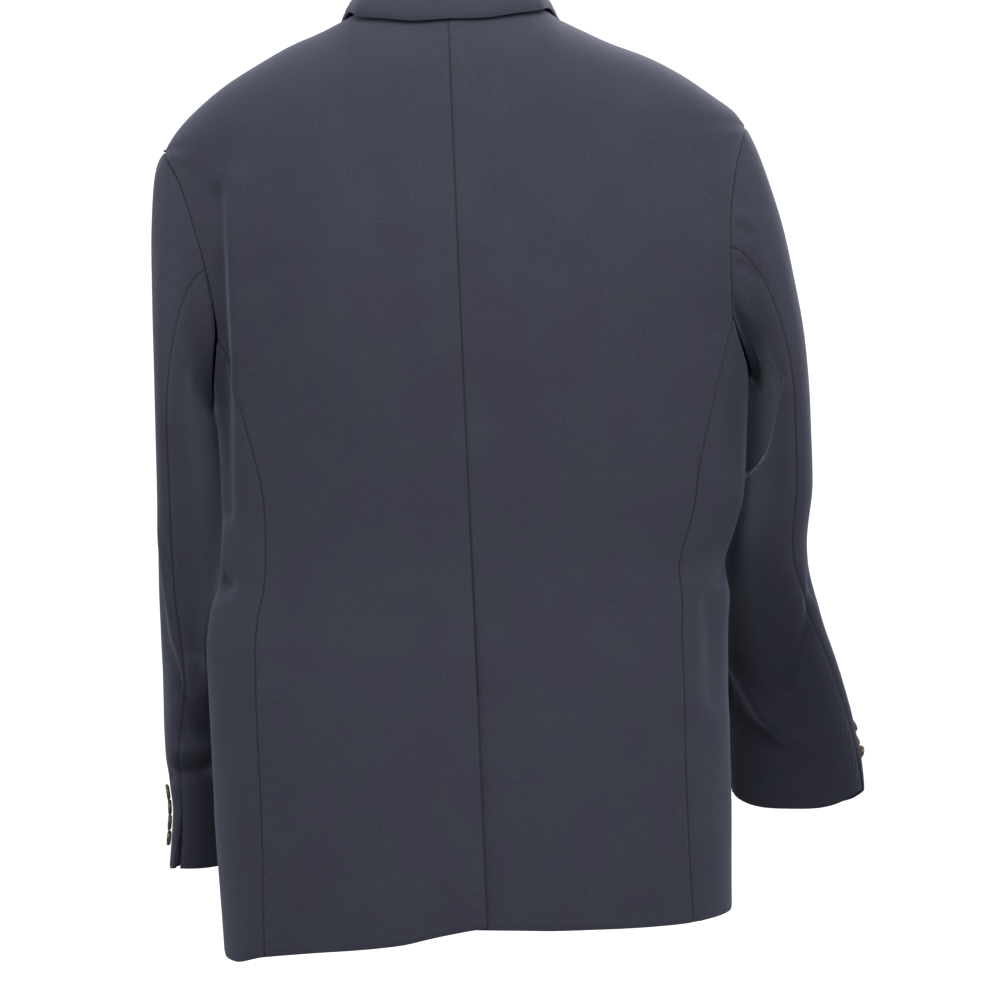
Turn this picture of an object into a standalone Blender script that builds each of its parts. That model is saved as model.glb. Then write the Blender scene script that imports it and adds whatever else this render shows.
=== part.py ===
"""A single-breasted blazer with notch lapels and a centre vent, hollow and in the pose of a hanging jacket.

Metres. +X is the wearer's right, +Y the front, +Z up. The origin is the centre of the neck opening, level
with the points where the shoulder seams meet the collar. Every piece of cloth is a thin wall of its own,
SEAM_GAP away from the next one.
"""

import math

import bmesh
import bpy
import numpy as np
from mathutils import Matrix, Vector

CLOTH = 0.0022  # thickness of an interlined cloth wall
SEAM_GAP = 0.0003  # clear space between pieces that meet
COLUMN_GAP = 0.0006  # half of it, as a share of a panel's columns
SECTION_POWER = 2.5  # 2 would be an ellipse, more is boxier
LEFT, RIGHT = -1, 1

SHOULDER_TIP_Z = -0.108  # where the shoulder seam meets the sleeve head
SHOULDER_ROUND = 0.090  # drop over which the back and front round over the shoulder
NECK_HALF_WIDTH = 0.078
NAPE_Z = -0.008

ARMHOLE_Z = -0.219
ARMHOLE_HALF_HEIGHT = 0.111
ARMHOLE_BACK = 0.078
ARMHOLE_FRONT = 0.072
SIDE_SEAM_TOP_Z = -0.281  # the back edge of the side panel meets the armhole here
ARMHOLE_LOW = math.asin((SIDE_SEAM_TOP_Z - ARMHOLE_Z) / ARMHOLE_HALF_HEIGHT)

VENT_TOP_Z = -0.587
VENT_UNDERLAP = 0.038
VENT_STEP = 0.006  # distance between the two close rows where the vent opens
LEVEL_ROWS = (0, 8, 17, 18, 19, 26)  # rows at the shoulder, the side panel's top, the vent and the hem
ARMHOLE_ROW, VENT_ROW, ROWS = LEVEL_ROWS[1], LEVEL_ROWS[2], LEVEL_ROWS[5]
BACK_CELLS, NECK_COLUMN = 13, 3
SIDE_CELLS = 7
VENT_DEPTH = 0.0029  # the underlap lies this far inside the upper flap

BREAK_Z = -0.425  # the lapels turn out above this height
FRONT_OVERLAP = 0.022  # each front reaches this far past the centre
FRONT_DEPTH = 0.0070  # the lower front's edge lies this far inside the upper one, with its lapel between
CUTAWAY_Z = -0.712  # the front edge starts to round off towards the hem
CUTAWAY = 0.085  # radius of that corner

BUTTON_HEIGHTS = (-0.432, -0.537)
BUTTON_RADIUS = 0.0100
BUTTON_THICK = 0.0040
CUFF_BUTTON_RADIUS = 0.0070
CUFF_BUTTON_THICK = 0.0032
CUFF_BUTTON_CLEAR = 0.0007  # the sleeve curves up below a flat button
CUFF_BUTTON_STEP = 0.0146
CUFF_BUTTON_FIRST = 0.028  # from the cuff's edge to the centre of the lowest button
CUFF_BUTTONS = 4
CUFF_BUTTON_ANGLE = {LEFT: 0.66, RIGHT: 0.75}  # radians from the middle of the sleeve's back edge
HANGING_BUTTON = (RIGHT, 1)  # this one hangs askew on its thread
HANGING_TILT = 0.75  # radians

# Ridge of the shoulders seen from the back. Inside the neck it is only the form that the back rounds up to.
RIDGE_COLUMNS = ("x", "left", "right")
RIDGE_ROWS = (
    (0.000, 0.0280, 0.0280),
    (0.046, 0.0190, 0.0185),
    (0.078, 0.0075, 0.0060),
    (0.092, 0.0005, -0.0050),
    (0.115, -0.0105, -0.0175),
    (0.140, -0.0205, -0.0305),
    (0.172, -0.0370, -0.0440),
    (0.202, -0.0545, -0.0610),
    (0.230, -0.0765, -0.0815),
    (0.246, -0.0930, -0.0940),
    (0.257, -0.1080, -0.1080),
)

# Torso sections from the hem up: half-widths on each side, depth behind and in front of the side seams.
TORSO_COLUMNS = ("z", "left", "right", "back", "front")
TORSO_ROWS = (
    (-0.830, 0.234, 0.214, 0.125, 0.122),
    (-0.750, 0.2365, 0.217, 0.122, 0.120),
    (-0.680, 0.237, 0.2185, 0.118, 0.117),
    (-0.600, 0.2385, 0.221, 0.113, 0.114),
    (-0.550, 0.239, 0.223, 0.110, 0.113),
    (-0.520, 0.235, 0.2255, 0.108, 0.113),
    (-0.495, 0.227, 0.223, 0.108, 0.114),
    (-0.465, 0.223, 0.233, 0.109, 0.117),
    (-0.430, 0.221, 0.243, 0.112, 0.121),
    (-0.350, 0.221, 0.249, 0.120, 0.128),
    (-0.281, 0.2325, 0.254, 0.126, 0.130),
    (-0.250, 0.243, 0.263, 0.127, 0.128),
    (-0.216, 0.2515, 0.268, 0.127, 0.124),
    (-0.178, 0.2565, 0.266, 0.125, 0.117),
    (-0.140, 0.255, 0.260, 0.122, 0.109),
    (-0.108, 0.257, 0.257, 0.118, 0.103),
    (-0.050, 0.257, 0.257, 0.108, 0.094),
    (-0.008, 0.257, 0.257, 0.098, 0.088),
    (0.030, 0.257, 0.257, 0.090, 0.085),
)

# Seams of the side panel, as a share of the half-width at that height.
SIDE_SEAM_COLUMNS = ("z", "back", "front")
SIDE_SEAM_ROWS = (
    (-0.830, 0.820, 0.900),
    (-0.716, 0.800, 0.900),
    (-0.580, 0.795, 0.905),
    (-0.526, 0.790, 0.910),
    (-0.424, 0.800, 0.920),
    (-0.357, 0.850, 0.930),
    (-0.309, 0.895, 0.937),
    (-0.281, 0.91963, 0.94026),
)

# Height of the hem all round, by the angle from the centre back.
HEM_COLUMNS = ("degrees", "left", "right")
HEM_ROWS = (
    (0, -0.787, -0.787),
    (7, -0.793, -0.790),
    (14, -0.799, -0.792),
    (36, -0.805, -0.795),
    (51, -0.810, -0.796),
    (68, -0.818, -0.796),
    (90, -0.818, -0.797),
    (125, -0.808, -0.798),
    (180, -0.804, -0.804),
)

# Soft folds of the back and sides as the photo's view shows them: each runs from one (x, z) to another.
TORSO_FOLD_COLUMNS = ("x_top", "z_top", "x_low", "z_low", "half_width", "out")
TORSO_FOLDS = (
    (0.056, -0.135, 0.019, -0.350, 0.022, -0.0032),
    (-0.200, -0.135, -0.211, -0.333, 0.0085, -0.0050),
    (-0.211, -0.333, -0.217, -0.478, 0.0085, -0.0085),
    (-0.186, -0.150, -0.198, -0.470, 0.012, 0.0025),
    (-0.160, -0.230, -0.168, -0.560, 0.016, -0.0022),
    (-0.120, -0.080, -0.105, -0.330, 0.030, 0.0020),
    (-0.229, -0.483, -0.216, -0.491, 0.009, -0.0075),
    (0.226, -0.492, 0.197, -0.520, 0.008, -0.0050),
    (0.197, -0.530, 0.208, -0.610, 0.014, -0.0040),
    (0.110, -0.380, 0.140, -0.620, 0.030, 0.0018),
    (0.055, -0.600, 0.050, -0.770, 0.022, 0.0016),
    (-0.100, -0.600, -0.110, -0.780, 0.025, 0.0018),
)

# Sleeve rings from the upper arm to the cuff: centre, half-thickness, half-depth, and how far the back of the
# ring has turned outwards, in degrees.
SLEEVE_COLUMNS = ("z", "x", "y", "thick", "deep", "turn")
LEFT_SLEEVE_ROWS = (
    (-0.751, -0.2505, 0.086, 0.0230, 0.066, 26),
    (-0.700, -0.2480, 0.078, 0.0235, 0.067, 20),
    (-0.655, -0.2550, 0.067, 0.0235, 0.070, 12),
    (-0.615, -0.2635, 0.058, 0.0215, 0.074, 1),
    (-0.560, -0.2670, 0.046, 0.0190, 0.078, -5),
    (-0.500, -0.2585, 0.032, 0.0210, 0.083, 2),
    (-0.430, -0.2485, 0.018, 0.0225, 0.088, 6),
    (-0.360, -0.2460, 0.008, 0.0215, 0.092, 6),
)
RIGHT_SLEEVE_ROWS = (
    (-0.727, 0.2930, 0.114, 0.0270, 0.0635, 66),
    (-0.675, 0.2880, 0.096, 0.0275, 0.069, 50),
    (-0.610, 0.2780, 0.072, 0.0275, 0.073, 36),
    (-0.540, 0.2650, 0.046, 0.0270, 0.079, 21),
    (-0.490, 0.2610, 0.030, 0.0270, 0.083, 12),
    (-0.425, 0.2720, 0.015, 0.0255, 0.088, 6),
    (-0.360, 0.2745, 0.007, 0.0240, 0.092, 4),
)
# How far the cuff's edge rises at the back and at the front of its ring.
CUFF_RISE_BACK = {LEFT: 0.003, RIGHT: 0.017}
CUFF_RISE_FRONT = {LEFT: -0.004, RIGHT: 0.015}
# How steeply the top of each sleeve leaves the shoulder: metres out and down, and the length of that start.
HEAD_OUT = {LEFT: 0.90, RIGHT: 0.62}
HEAD_DOWN = {LEFT: 0.42, RIGHT: 0.78}
HEAD_START = {LEFT: 0.025, RIGHT: 0.028}

# Sleeve folds as the photo's view shows them, like TORSO_FOLDS.
LEFT_SLEEVE_FOLDS = (
    (-0.250, -0.560, -0.236, -0.625, 0.007, 0.0045),
    (-0.262, -0.585, -0.250, -0.632, 0.007, -0.0040),
    (-0.278, -0.662, -0.236, -0.655, 0.007, -0.0055),
    (-0.270, -0.640, -0.240, -0.636, 0.008, 0.0030),
)
RIGHT_SLEEVE_FOLDS = (
    (0.241, -0.286, 0.259, -0.332, 0.009, -0.0070),
    (0.259, -0.332, 0.255, -0.388, 0.011, -0.0110),
    (0.255, -0.388, 0.243, -0.420, 0.009, -0.0060),
    (0.299, -0.500, 0.287, -0.568, 0.006, -0.0050),
    (0.287, -0.568, 0.279, -0.612, 0.006, -0.0035),
    (0.224, -0.600, 0.243, -0.640, 0.010, -0.0060),
    (0.243, -0.640, 0.272, -0.668, 0.009, -0.0050),
    (0.233, -0.588, 0.262, -0.640, 0.008, 0.0040),
)
SLEEVE_HEAD_Z = -0.360  # the sleeve head ends and the tube begins
RING_POWER = 2.3
SLEEVE_HEAD_SHARE = 0.30  # share of a sleeve's rows in the head
HINDARM_ROW, FOREARM_ROW = 6, 7  # rows of the back and front at which the sleeve's seams leave the armhole
FOREARM_SEAM = 202  # degrees round a sleeve from its hindarm seam over the outside
CUFF_VENT = 0.16  # share of the tube's rows, from the cuff up, over which the hindarm seam is open
CUFF_VENT_OPEN = {LEFT: 0.10, RIGHT: 0.04}  # radians that each edge has parted at the cuff

# Collar from the centre back to its front end: neck seam, height and inward lean of the stand, outer edge. The
# neck seam passes the shoulder at way 0.5. Reach is the distance from the shoulder's ridge, less than 0 behind it.
COLLAR_COLUMNS = ("way", "seam_x", "seam_reach", "stand", "lean", "edge_x", "edge_reach")
COLLAR_ROWS = (
    (0.00, 0.0000, 0.0000, 0.034, 0.0080, 0.0000, -0.0993),
    (0.13, 0.0260, 0.0000, 0.034, 0.0085, 0.0300, -0.0930),
    (0.26, 0.0500, 0.0000, 0.033, 0.0090, 0.0590, -0.0767),
    (0.38, 0.0680, 0.0000, 0.031, 0.0095, 0.0790, -0.0550),
    (0.46, 0.0755, 0.0000, 0.030, 0.0095, 0.0860, -0.0260),
    (0.50, 0.0780, 0.0000, 0.029, 0.0090, 0.0890, -0.0125),
    (0.58, 0.0775, 0.0350, 0.026, 0.0080, 0.0960, 0.0137),
    (0.66, 0.0755, 0.0687, 0.021, 0.0055, 0.1040, 0.0294),
    (0.75, 0.0710, 0.1018, 0.013, 0.0025, 0.1180, 0.0528),
    (0.86, 0.0675, 0.1348, 0.004, 0.0000, 0.1350, 0.0699),
    (1.00, 0.1120, 0.1275, 0.001, 0.0000, 0.1530, 0.0895),
)
COLLAR_SHOULDER = 0.50
FOLD_RADIUS = 0.0050
LAPEL_CLEAR = 0.0006  # the lapels and the collar's edge lie this far above the cloth below them

# Lapel from the gorge to the break: height at the roll line, height and width at the outer edge.
LAPEL_COLUMNS = ("way", "roll_z", "edge_z", "width")
LAPEL_ROWS = (
    (0.00, -0.075, -0.112, 0.088),
    (0.08, -0.100, -0.134, 0.087),
    (0.30, -0.175, -0.196, 0.078),
    (0.60, -0.280, -0.291, 0.052),
    (0.85, -0.368, -0.372, 0.020),
    (1.00, -0.420, -0.421, 0.003),
)


def named(columns, rows):
    """A table given row by row, as one array for each column name."""
    return {name: np.array(values, float) for name, values in zip(columns, zip(*rows))}


RIDGE = named(RIDGE_COLUMNS, RIDGE_ROWS)
TORSO = named(TORSO_COLUMNS, TORSO_ROWS)
SIDE_SEAMS = named(SIDE_SEAM_COLUMNS, SIDE_SEAM_ROWS)
HEM = named(HEM_COLUMNS, HEM_ROWS)
SLEEVES = {LEFT: named(SLEEVE_COLUMNS, LEFT_SLEEVE_ROWS), RIGHT: named(SLEEVE_COLUMNS, RIGHT_SLEEVE_ROWS)}
SLEEVE_FOLDS = {LEFT: LEFT_SLEEVE_FOLDS, RIGHT: RIGHT_SLEEVE_FOLDS}
COLLAR = named(COLLAR_COLUMNS, COLLAR_ROWS)
LAPEL = named(LAPEL_COLUMNS, LAPEL_ROWS)


def follow(knots, values, at):
    """Values at the places `at` on a smooth curve through the knots that never overshoots them."""
    knots, values = np.asarray(knots, float), np.asarray(values, float)
    at = np.clip(at, knots[0], knots[-1])
    step = np.diff(knots)
    rise = np.diff(values) / step
    slope = np.empty_like(values)
    slope[0], slope[-1] = rise[0], rise[-1]
    same_way = rise[:-1] * rise[1:] > 0
    mean = 2 * rise[:-1] * rise[1:] / np.where(same_way, rise[:-1] + rise[1:], 1)
    slope[1:-1] = np.where(same_way, mean, 0)
    i = np.clip(np.searchsorted(knots, at) - 1, 0, len(step) - 1)
    t = (at - knots[i]) / step[i]
    return (
        (1 + 2 * t) * (1 - t) ** 2 * values[i]
        + t * (1 - t) ** 2 * step[i] * slope[i]
        + t * t * (3 - 2 * t) * values[i + 1]
        + t * t * (t - 1) * step[i] * slope[i + 1]
    )


def ease(t):
    """A smooth step from 0 at 0 to 1 at 1."""
    t = np.clip(t, 0, 1)
    return t * t * (3 - 2 * t)


def unit(vectors):
    """Vectors along the last axis, brought to length 1."""
    return vectors / np.maximum(np.linalg.norm(vectors, axis=-1, keepdims=True), 1e-12)


def folded(x, z, folds):
    """How far a row of folds lifts the cloth at each (x, z)."""
    out = np.zeros(np.broadcast(x, z).shape)
    for x_top, z_top, x_low, z_low, half_width, height in folds:
        run_x, run_z = x_low - x_top, z_low - z_top
        length = math.hypot(run_x, run_z)
        along = ((x - x_top) * run_x + (z - z_top) * run_z) / length**2
        nearest = np.clip(along, 0, 1)
        away = np.hypot(x - x_top - nearest * run_x, z - z_top - nearest * run_z)
        out += height * np.exp(-((away / half_width) ** 2))
    return out


# Torso
def half_width(side, z):
    return np.where(side < 0, follow(TORSO["z"], TORSO["left"], z), follow(TORSO["z"], TORSO["right"], z))


def armhole_reach(z, depth):
    """Distance of the armhole's edge from the side seams' plane."""
    height = np.clip((z - ARMHOLE_Z) / ARMHOLE_HALF_HEIGHT, -1, 1)
    return depth * np.sqrt(1 - height**2)


def edge_angle(z, part):
    """Angle from the centre back, or front, to the armhole and then to the side panel's seam."""
    reach = armhole_reach(z, ARMHOLE_BACK if part == "back" else ARMHOLE_FRONT)
    depth = follow(TORSO["z"], TORSO[part], z)
    armhole = np.arccos(np.clip(reach / depth, 0, 1) ** (SECTION_POWER / 2))
    seam = np.arcsin(follow(SIDE_SEAMS["z"], SIDE_SEAMS[part], z) ** (SECTION_POWER / 2))
    low = np.where(z < SIDE_SEAM_TOP_Z, seam, armhole)
    return np.where(z > SHOULDER_TIP_Z, math.pi / 2, low)


def torso_point(angle, z):
    """A point of the torso below the armholes. The angle runs from 0 at the centre back to pi at the front."""
    power = 2 / SECTION_POWER
    back = np.cos(angle) >= 0
    depth = np.where(back, follow(TORSO["z"], TORSO["back"], z), follow(TORSO["z"], TORSO["front"], z))
    x = np.sign(angle) * half_width(angle, z) * np.abs(np.sin(angle)) ** power
    y = np.where(back, -1, 1) * depth * np.abs(np.cos(angle)) ** power
    return np.stack([x, y, z + 0 * x], -1)


def ridge_z(x):
    """Height of the shoulders' ridge at x, blended at the centre where both sides meet."""
    right = ease(0.5 + x / 0.04)
    left_z, right_z = follow(RIDGE["x"], RIDGE["left"], np.abs(x)), follow(RIDGE["x"], RIDGE["right"], np.abs(x))
    return left_z + (right_z - left_z) * right


def panel_point(column, down, part):
    """A point of the back or front, on a column from the shoulder's ridge. Column -1 to 1, down in metres."""
    side = np.where(column < 0, -1.0, 1.0)
    power = 2 / SECTION_POWER
    share = np.abs(column)
    top_x = half_width(side, 0 * column) * np.sin(share * math.pi / 2) ** power
    top_z = ridge_z(side * top_x)
    rounding = SHOULDER_ROUND * np.maximum(1 - share**2, 0.15)
    arc = rounding * math.pi / 2
    turn = np.clip(down / arc, -1, 1) * math.pi / 2
    z = top_z - rounding * (1 - np.cos(turn)) - np.maximum(down - arc, 0)
    angle = share * edge_angle(z, part)
    width = half_width(side, z) * np.abs(np.sin(angle)) ** power
    depth = follow(TORSO["z"], TORSO[part], z) * np.abs(np.cos(angle)) ** power
    y = depth * np.sin(turn) * (-1 if part == "back" else 1)
    return np.stack([side * width, y, z], -1)


def down_to(z, column, part):
    """How far down its column the point at height z lies."""
    side = np.where(column < 0, -1.0, 1.0)
    share = np.abs(column)
    top_x = half_width(side, 0 * column) * np.sin(share * math.pi / 2) ** (2 / SECTION_POWER)
    rounding = SHOULDER_ROUND * np.maximum(1 - share**2, 0.15)
    drop = np.maximum(ridge_z(side * top_x) - z, 0)
    inside = rounding * np.arccos(np.clip(1 - drop / rounding, 0, 1))
    return np.where(drop < rounding, inside, rounding * math.pi / 2 + drop - rounding)


def normals_of(surface, a, b, step_a, step_b, outwards):
    """Unit normals of surface(a, b), turned to the side that `outwards` gives."""
    along_a = surface(a + step_a, b) - surface(a - step_a, b)
    along_b = surface(a, b + step_b) - surface(a, b - step_b)
    normal = unit(np.cross(along_a, along_b))
    facing = np.sum(normal * outwards, -1, keepdims=True)
    return np.where(facing < 0, -normal, normal)


def draped(points, normal, folds, fade):
    """Points moved out by the folds; fade is 1 where they show and 0 where they don't."""
    return points + normal * (folded(points[..., 0], points[..., 2], folds) * fade)[..., None]


def panel_surface(column, down, part):
    """Outer point and normal of the back or front panel."""
    points = panel_point(column, down, part)
    outwards = np.stack([0 * column, 0 * column + (-1.0 if part == "back" else 1.0), 0 * column + 0.3], -1)
    normal = normals_of(lambda a, b: panel_point(a, b, part), column, down, 2e-3, 1e-4, outwards)
    fade = ease(-points[..., 1] / 0.03) if part == "back" else 0 * column
    return draped(points, normal, TORSO_FOLDS, fade), normal


def side_surface(angle, z):
    """Outer point and normal of a side panel."""
    points = torso_point(angle, z)
    normal = normals_of(torso_point, angle, z, 1e-3, 1e-4, points * [1, 1, 0])
    return draped(points, normal, TORSO_FOLDS, ease(-points[..., 1] / 0.03)), normal


def hem_z(angle):
    degrees = np.degrees(np.abs(angle))
    left, right = follow(HEM["degrees"], HEM["left"], degrees), follow(HEM["degrees"], HEM["right"], degrees)
    return np.where(angle < 0, left, right)


# Walls of cloth
def material(name, colour, roughness, metallic=0.0):
    made = bpy.data.materials.new(name)
    made.use_nodes = True
    shader = made.node_tree.nodes["Principled BSDF"]
    shader.inputs["Base Color"].default_value = (*colour, 1)
    shader.inputs["Roughness"].default_value = roughness
    shader.inputs["Metallic"].default_value = metallic
    return made


def add_object(name, shape, finish):
    bmesh.ops.recalc_face_normals(shape, faces=shape.faces)
    if shape.calc_volume(signed=True) < 0:
        bmesh.ops.reverse_faces(shape, faces=shape.faces)
    mesh = bpy.data.meshes.new(name)
    shape.to_mesh(mesh)
    shape.free()
    mesh.shade_smooth()
    mesh.set_sharp_from_angle(angle=math.radians(40))
    made = bpy.data.objects.new(name, mesh)
    made.data.materials.append(finish)
    bpy.data.collections["blazer"].objects.link(made)
    return made


def wall(name, surface, cells, finish, thickness=CLOTH):
    """A closed cloth wall. surface(u, v) gives outer points and unit normals for u and v from 0 to 1.

    A unit grid is laid on the surface and extruded inwards to the wall's thickness."""
    shape = bmesh.new()
    bmesh.ops.create_grid(shape, x_segments=cells[0], y_segments=cells[1], size=0.5)
    place = np.array([vert.co for vert in shape.verts]) + 0.5
    outer, normal = surface(place[:, 0], place[:, 1])
    inner = outer - normal * thickness
    number = shape.verts.layers.int.new("number")
    for i, vert in enumerate(shape.verts):
        vert[number] = i
        vert.co = outer[i]
    made = bmesh.ops.extrude_face_region(shape, geom=shape.faces[:], use_keep_orig=True)
    for vert in made["geom"]:
        if isinstance(vert, bmesh.types.BMVert):
            vert.co = inner[vert[number]]
    return add_object(name, shape, finish)


def side_name(piece, side):
    return f"{piece}_{'left' if side < 0 else 'right'}"


# Back, sides and fronts
def denser_at_end(u):
    """Columns closer together towards the panel's outer edge."""
    return u * (1.25 - 0.25 * u)


def back_column(u):
    """Columns of the back: even across the neck, one of them at its end, then even round the shoulder."""
    neck_u = NECK_COLUMN / BACK_CELLS
    width = half_width(1.0, np.array(0.0))
    neck_x = NECK_HALF_WIDTH * np.clip(u / neck_u, 0, 1)
    neck = np.arcsin((neck_x / width) ** (SECTION_POWER / 2)) * 2 / math.pi
    rest = np.clip((u - neck_u) / (1 - neck_u), 0, 1)
    return neck + (1 - neck) * rest * (1.1 - 0.1 * rest)


def column_of(x, z, part):
    """The column that passes through (x, z)."""
    share = np.clip(np.abs(x) / half_width(x, z), 0, 1)
    return np.sign(x) * np.arcsin(share ** (SECTION_POWER / 2)) / edge_angle(z, part)


def on_panel(x, z, part):
    """Outer point and normal of the back or front at (x, z)."""
    column = column_of(x, z, part)
    return panel_surface(column, down_to(z, column, part), part)


def height_on(column, down, part):
    return panel_point(column, down, part)[..., 2]


def armhole_angle(share):
    """Angle round the armhole of a share of the rows from the shoulder to the side panel."""
    return math.pi / 2 + (ARMHOLE_LOW - math.pi / 2) * share


def panel_rows(row, column, start, end, part):
    """Distance down a column for each row. The rows are level at the side panel's top and where the vent opens."""
    armhole = down_to(0 * row + SIDE_SEAM_TOP_Z, column, part)
    vent = down_to(0 * row + VENT_TOP_Z, column, part)
    level = [start, armhole, vent, vent + VENT_STEP, vent + 2 * VENT_STEP, end]
    down = start + 0 * row
    for i in range(5):
        share = np.clip((row - LEVEL_ROWS[i]) / (LEVEL_ROWS[i + 1] - LEVEL_ROWS[i]), 0, 1)
        if i == 0:
            round_it = (1 - np.sin(armhole_angle(share))) / (1 - math.sin(ARMHOLE_LOW))
            share = share + (round_it - share) * np.abs(column) ** 4
        down = np.where(row >= LEVEL_ROWS[i], level[i] + (level[i + 1] - level[i]) * share, down)
    return down


def shoulder_seam(row, points, normal, part):
    """Sets the top row of a back or front upright and clear of the shoulder seam."""
    away = -SEAM_GAP / 2 if part == "back" else SEAM_GAP / 2
    top = (row < 0.5) & (np.abs(points[..., 0]) > NECK_HALF_WIDTH - 0.001)
    beyond = np.minimum(points[..., 1], away) if part == "back" else np.maximum(points[..., 1], away)
    points[..., 1] = np.where(top, beyond, points[..., 1])
    upright = unit(normal * [1, 0, 1])
    return points, np.where(top[..., None], upright, normal)


def back_panel(side, finish):
    """One half of the back, from the centre seam to the armhole and the side panel, with its vent flap."""

    def surface(u, v):
        column = side * (1 - COLUMN_GAP) * back_column(u)
        top_x = half_width(side, 0 * u) * np.sin(np.abs(column) * math.pi / 2) ** (2 / SECTION_POWER)
        top_z = np.where(top_x < NECK_HALF_WIDTH, neck_z(side * top_x), ridge_z(side * top_x))
        start = np.maximum(down_to(top_z, column, "back"), SEAM_GAP / 2)
        low_angle = np.abs(column) * edge_angle(0 * u - 0.80, "back")
        end = down_to(hem_z(side * low_angle), column, "back")
        row = v * ROWS
        down = panel_rows(row, column, start, end, "back")
        z = height_on(column, down, "back")
        below = 0 * u
        if side == RIGHT:
            below = ease(row - VENT_ROW)
            x = panel_point(column, down, "back")[..., 0]
            lap = np.clip(row - VENT_ROW - 1, 0, 1) * VENT_UNDERLAP * (1 - ease(x / 0.10))
            column = np.where(lap > 0, column_of(x - lap - 1e-7, z, "back"), column)
            down = np.where(lap > 0, down_to(z, column, "back"), down)
        points, normal = panel_surface(column, down, "back")
        at_centre = (u == 0) & (row < VENT_ROW + 1.5)
        if side == LEFT:
            at_centre = u == 0
        points[..., 0] = np.where(at_centre, side * SEAM_GAP / 2, points[..., 0])
        near = 1 - ease((points[..., 0] - 0.024) / 0.036)
        points = points - normal * (VENT_DEPTH * below * near)[..., None]
        return shoulder_seam(row, points, normal, "back")

    return wall(side_name("back", side), surface, (BACK_CELLS, ROWS), finish)


def side_angle(z, share):
    """Angle from the centre back of a side panel's point: share 0 at its back seam, 1 at its front seam."""
    start = edge_angle(np.minimum(z, SIDE_SEAM_TOP_Z - 1e-6), "back")
    end = math.pi - edge_angle(np.minimum(z, SIDE_SEAM_TOP_Z - 1e-6), "front")
    gap = SEAM_GAP / 0.19
    return start + gap + (end - start - 2 * gap) * share


def side_top(side, share):
    """Height of the side panel's top edge, the low part of the armhole."""
    top = 0 * share + SIDE_SEAM_TOP_Z
    for _ in range(8):
        reach = np.abs(torso_point(side * side_angle(top, share), top)[..., 1])
        loop = np.where(side_angle(top, share) < math.pi / 2, ARMHOLE_BACK, ARMHOLE_FRONT)
        top = ARMHOLE_Z - ARMHOLE_HALF_HEIGHT * np.sqrt(1 - np.clip(reach / loop, 0, 1) ** 2)
        top = np.minimum(top, SIDE_SEAM_TOP_Z)
    return top


def side_panel(side, finish):
    """The panel under the armhole, between the back and the front."""

    def surface(u, v):
        top = side_top(side, u)
        low = hem_z(side * side_angle(0 * u - 0.80, u))
        row = ARMHOLE_ROW + v * (ROWS - ARMHOLE_ROW)
        level = [SIDE_SEAM_TOP_Z, VENT_TOP_Z, VENT_TOP_Z - VENT_STEP, VENT_TOP_Z - 2 * VENT_STEP, low]
        z = 0 * u
        for i in range(4):
            share = np.clip((row - LEVEL_ROWS[i + 1]) / (LEVEL_ROWS[i + 2] - LEVEL_ROWS[i + 1]), 0, 1)
            z = np.where(row >= LEVEL_ROWS[i + 1], level[i] + (level[i + 1] - level[i]) * share, z)
        z = z + (top - SIDE_SEAM_TOP_Z) * np.clip(1 - (row - ARMHOLE_ROW) / 8, 0, 1)
        return side_surface(side * side_angle(z, u), z)

    return wall(side_name("side", side), surface, (SIDE_CELLS, ROWS - ARMHOLE_ROW), finish)


def front_edge_x(z):
    """How far a front reaches past the centre: along the roll line, then straight, then cut away at the hem."""
    roll = np.clip(z / BREAK_Z, 0, 1)
    inner = -NECK_HALF_WIDTH + (NECK_HALF_WIDTH + FRONT_OVERLAP) * (roll - 0.06 * np.sin(math.pi * roll))
    corner = np.clip((CUTAWAY_Z - z) / CUTAWAY, 0, 0.7071)
    return inner - CUTAWAY * (1 - np.sqrt(1 - corner**2))


def cutaway_rise(share):
    """How far the hem of a front rises at its rounded corner."""
    from_edge = np.clip(1 - 0.2929 - share * 0.2 / CUTAWAY, 0, 0.7071)
    return CUTAWAY * (1 - np.sqrt(1 - from_edge**2))


def front_column(side, share, z):
    """Column of a front's point: its share of the way from the front edge to the armhole or side seam."""
    edge_x = -side * front_edge_x(z)
    inner = side * column_of(edge_x, z, "front")
    return side * (inner + (1 - COLUMN_GAP - inner) * share)


def lapped(side, points, normal):
    """The right front passes inside the left one where they lap."""
    if side == LEFT:
        return points
    near = np.clip(1 - (points[..., 0] + FRONT_OVERLAP) / 0.142, 0, 1)
    return points - normal * (FRONT_DEPTH * near)[..., None]


def front_panel(side, finish):
    """One front, from the shoulder to the hem, as far as its roll line and its buttoning edge."""

    def surface(u, v):
        share = denser_at_end(u)
        column = side * share
        for _ in range(12):
            top_z = height_on(column, 0 * u, "front")
            column = front_column(side, share, top_z)
        low_column = front_column(side, share, 0 * u - 0.795)
        low_angle = math.pi - np.abs(low_column) * edge_angle(0 * u - 0.80, "front")
        end = down_to(hem_z(side * low_angle) + cutaway_rise(share), low_column, "front")
        row = v * ROWS
        for _ in range(12):
            down = panel_rows(row, column, SEAM_GAP / 2, end, "front")
            column = front_column(side, share, height_on(column, down, "front"))
        points, normal = panel_surface(column, down, "front")
        return shoulder_seam(row, lapped(side, points, normal), normal, "front")

    return wall(side_name("front", side), surface, (13, ROWS), finish)


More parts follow.
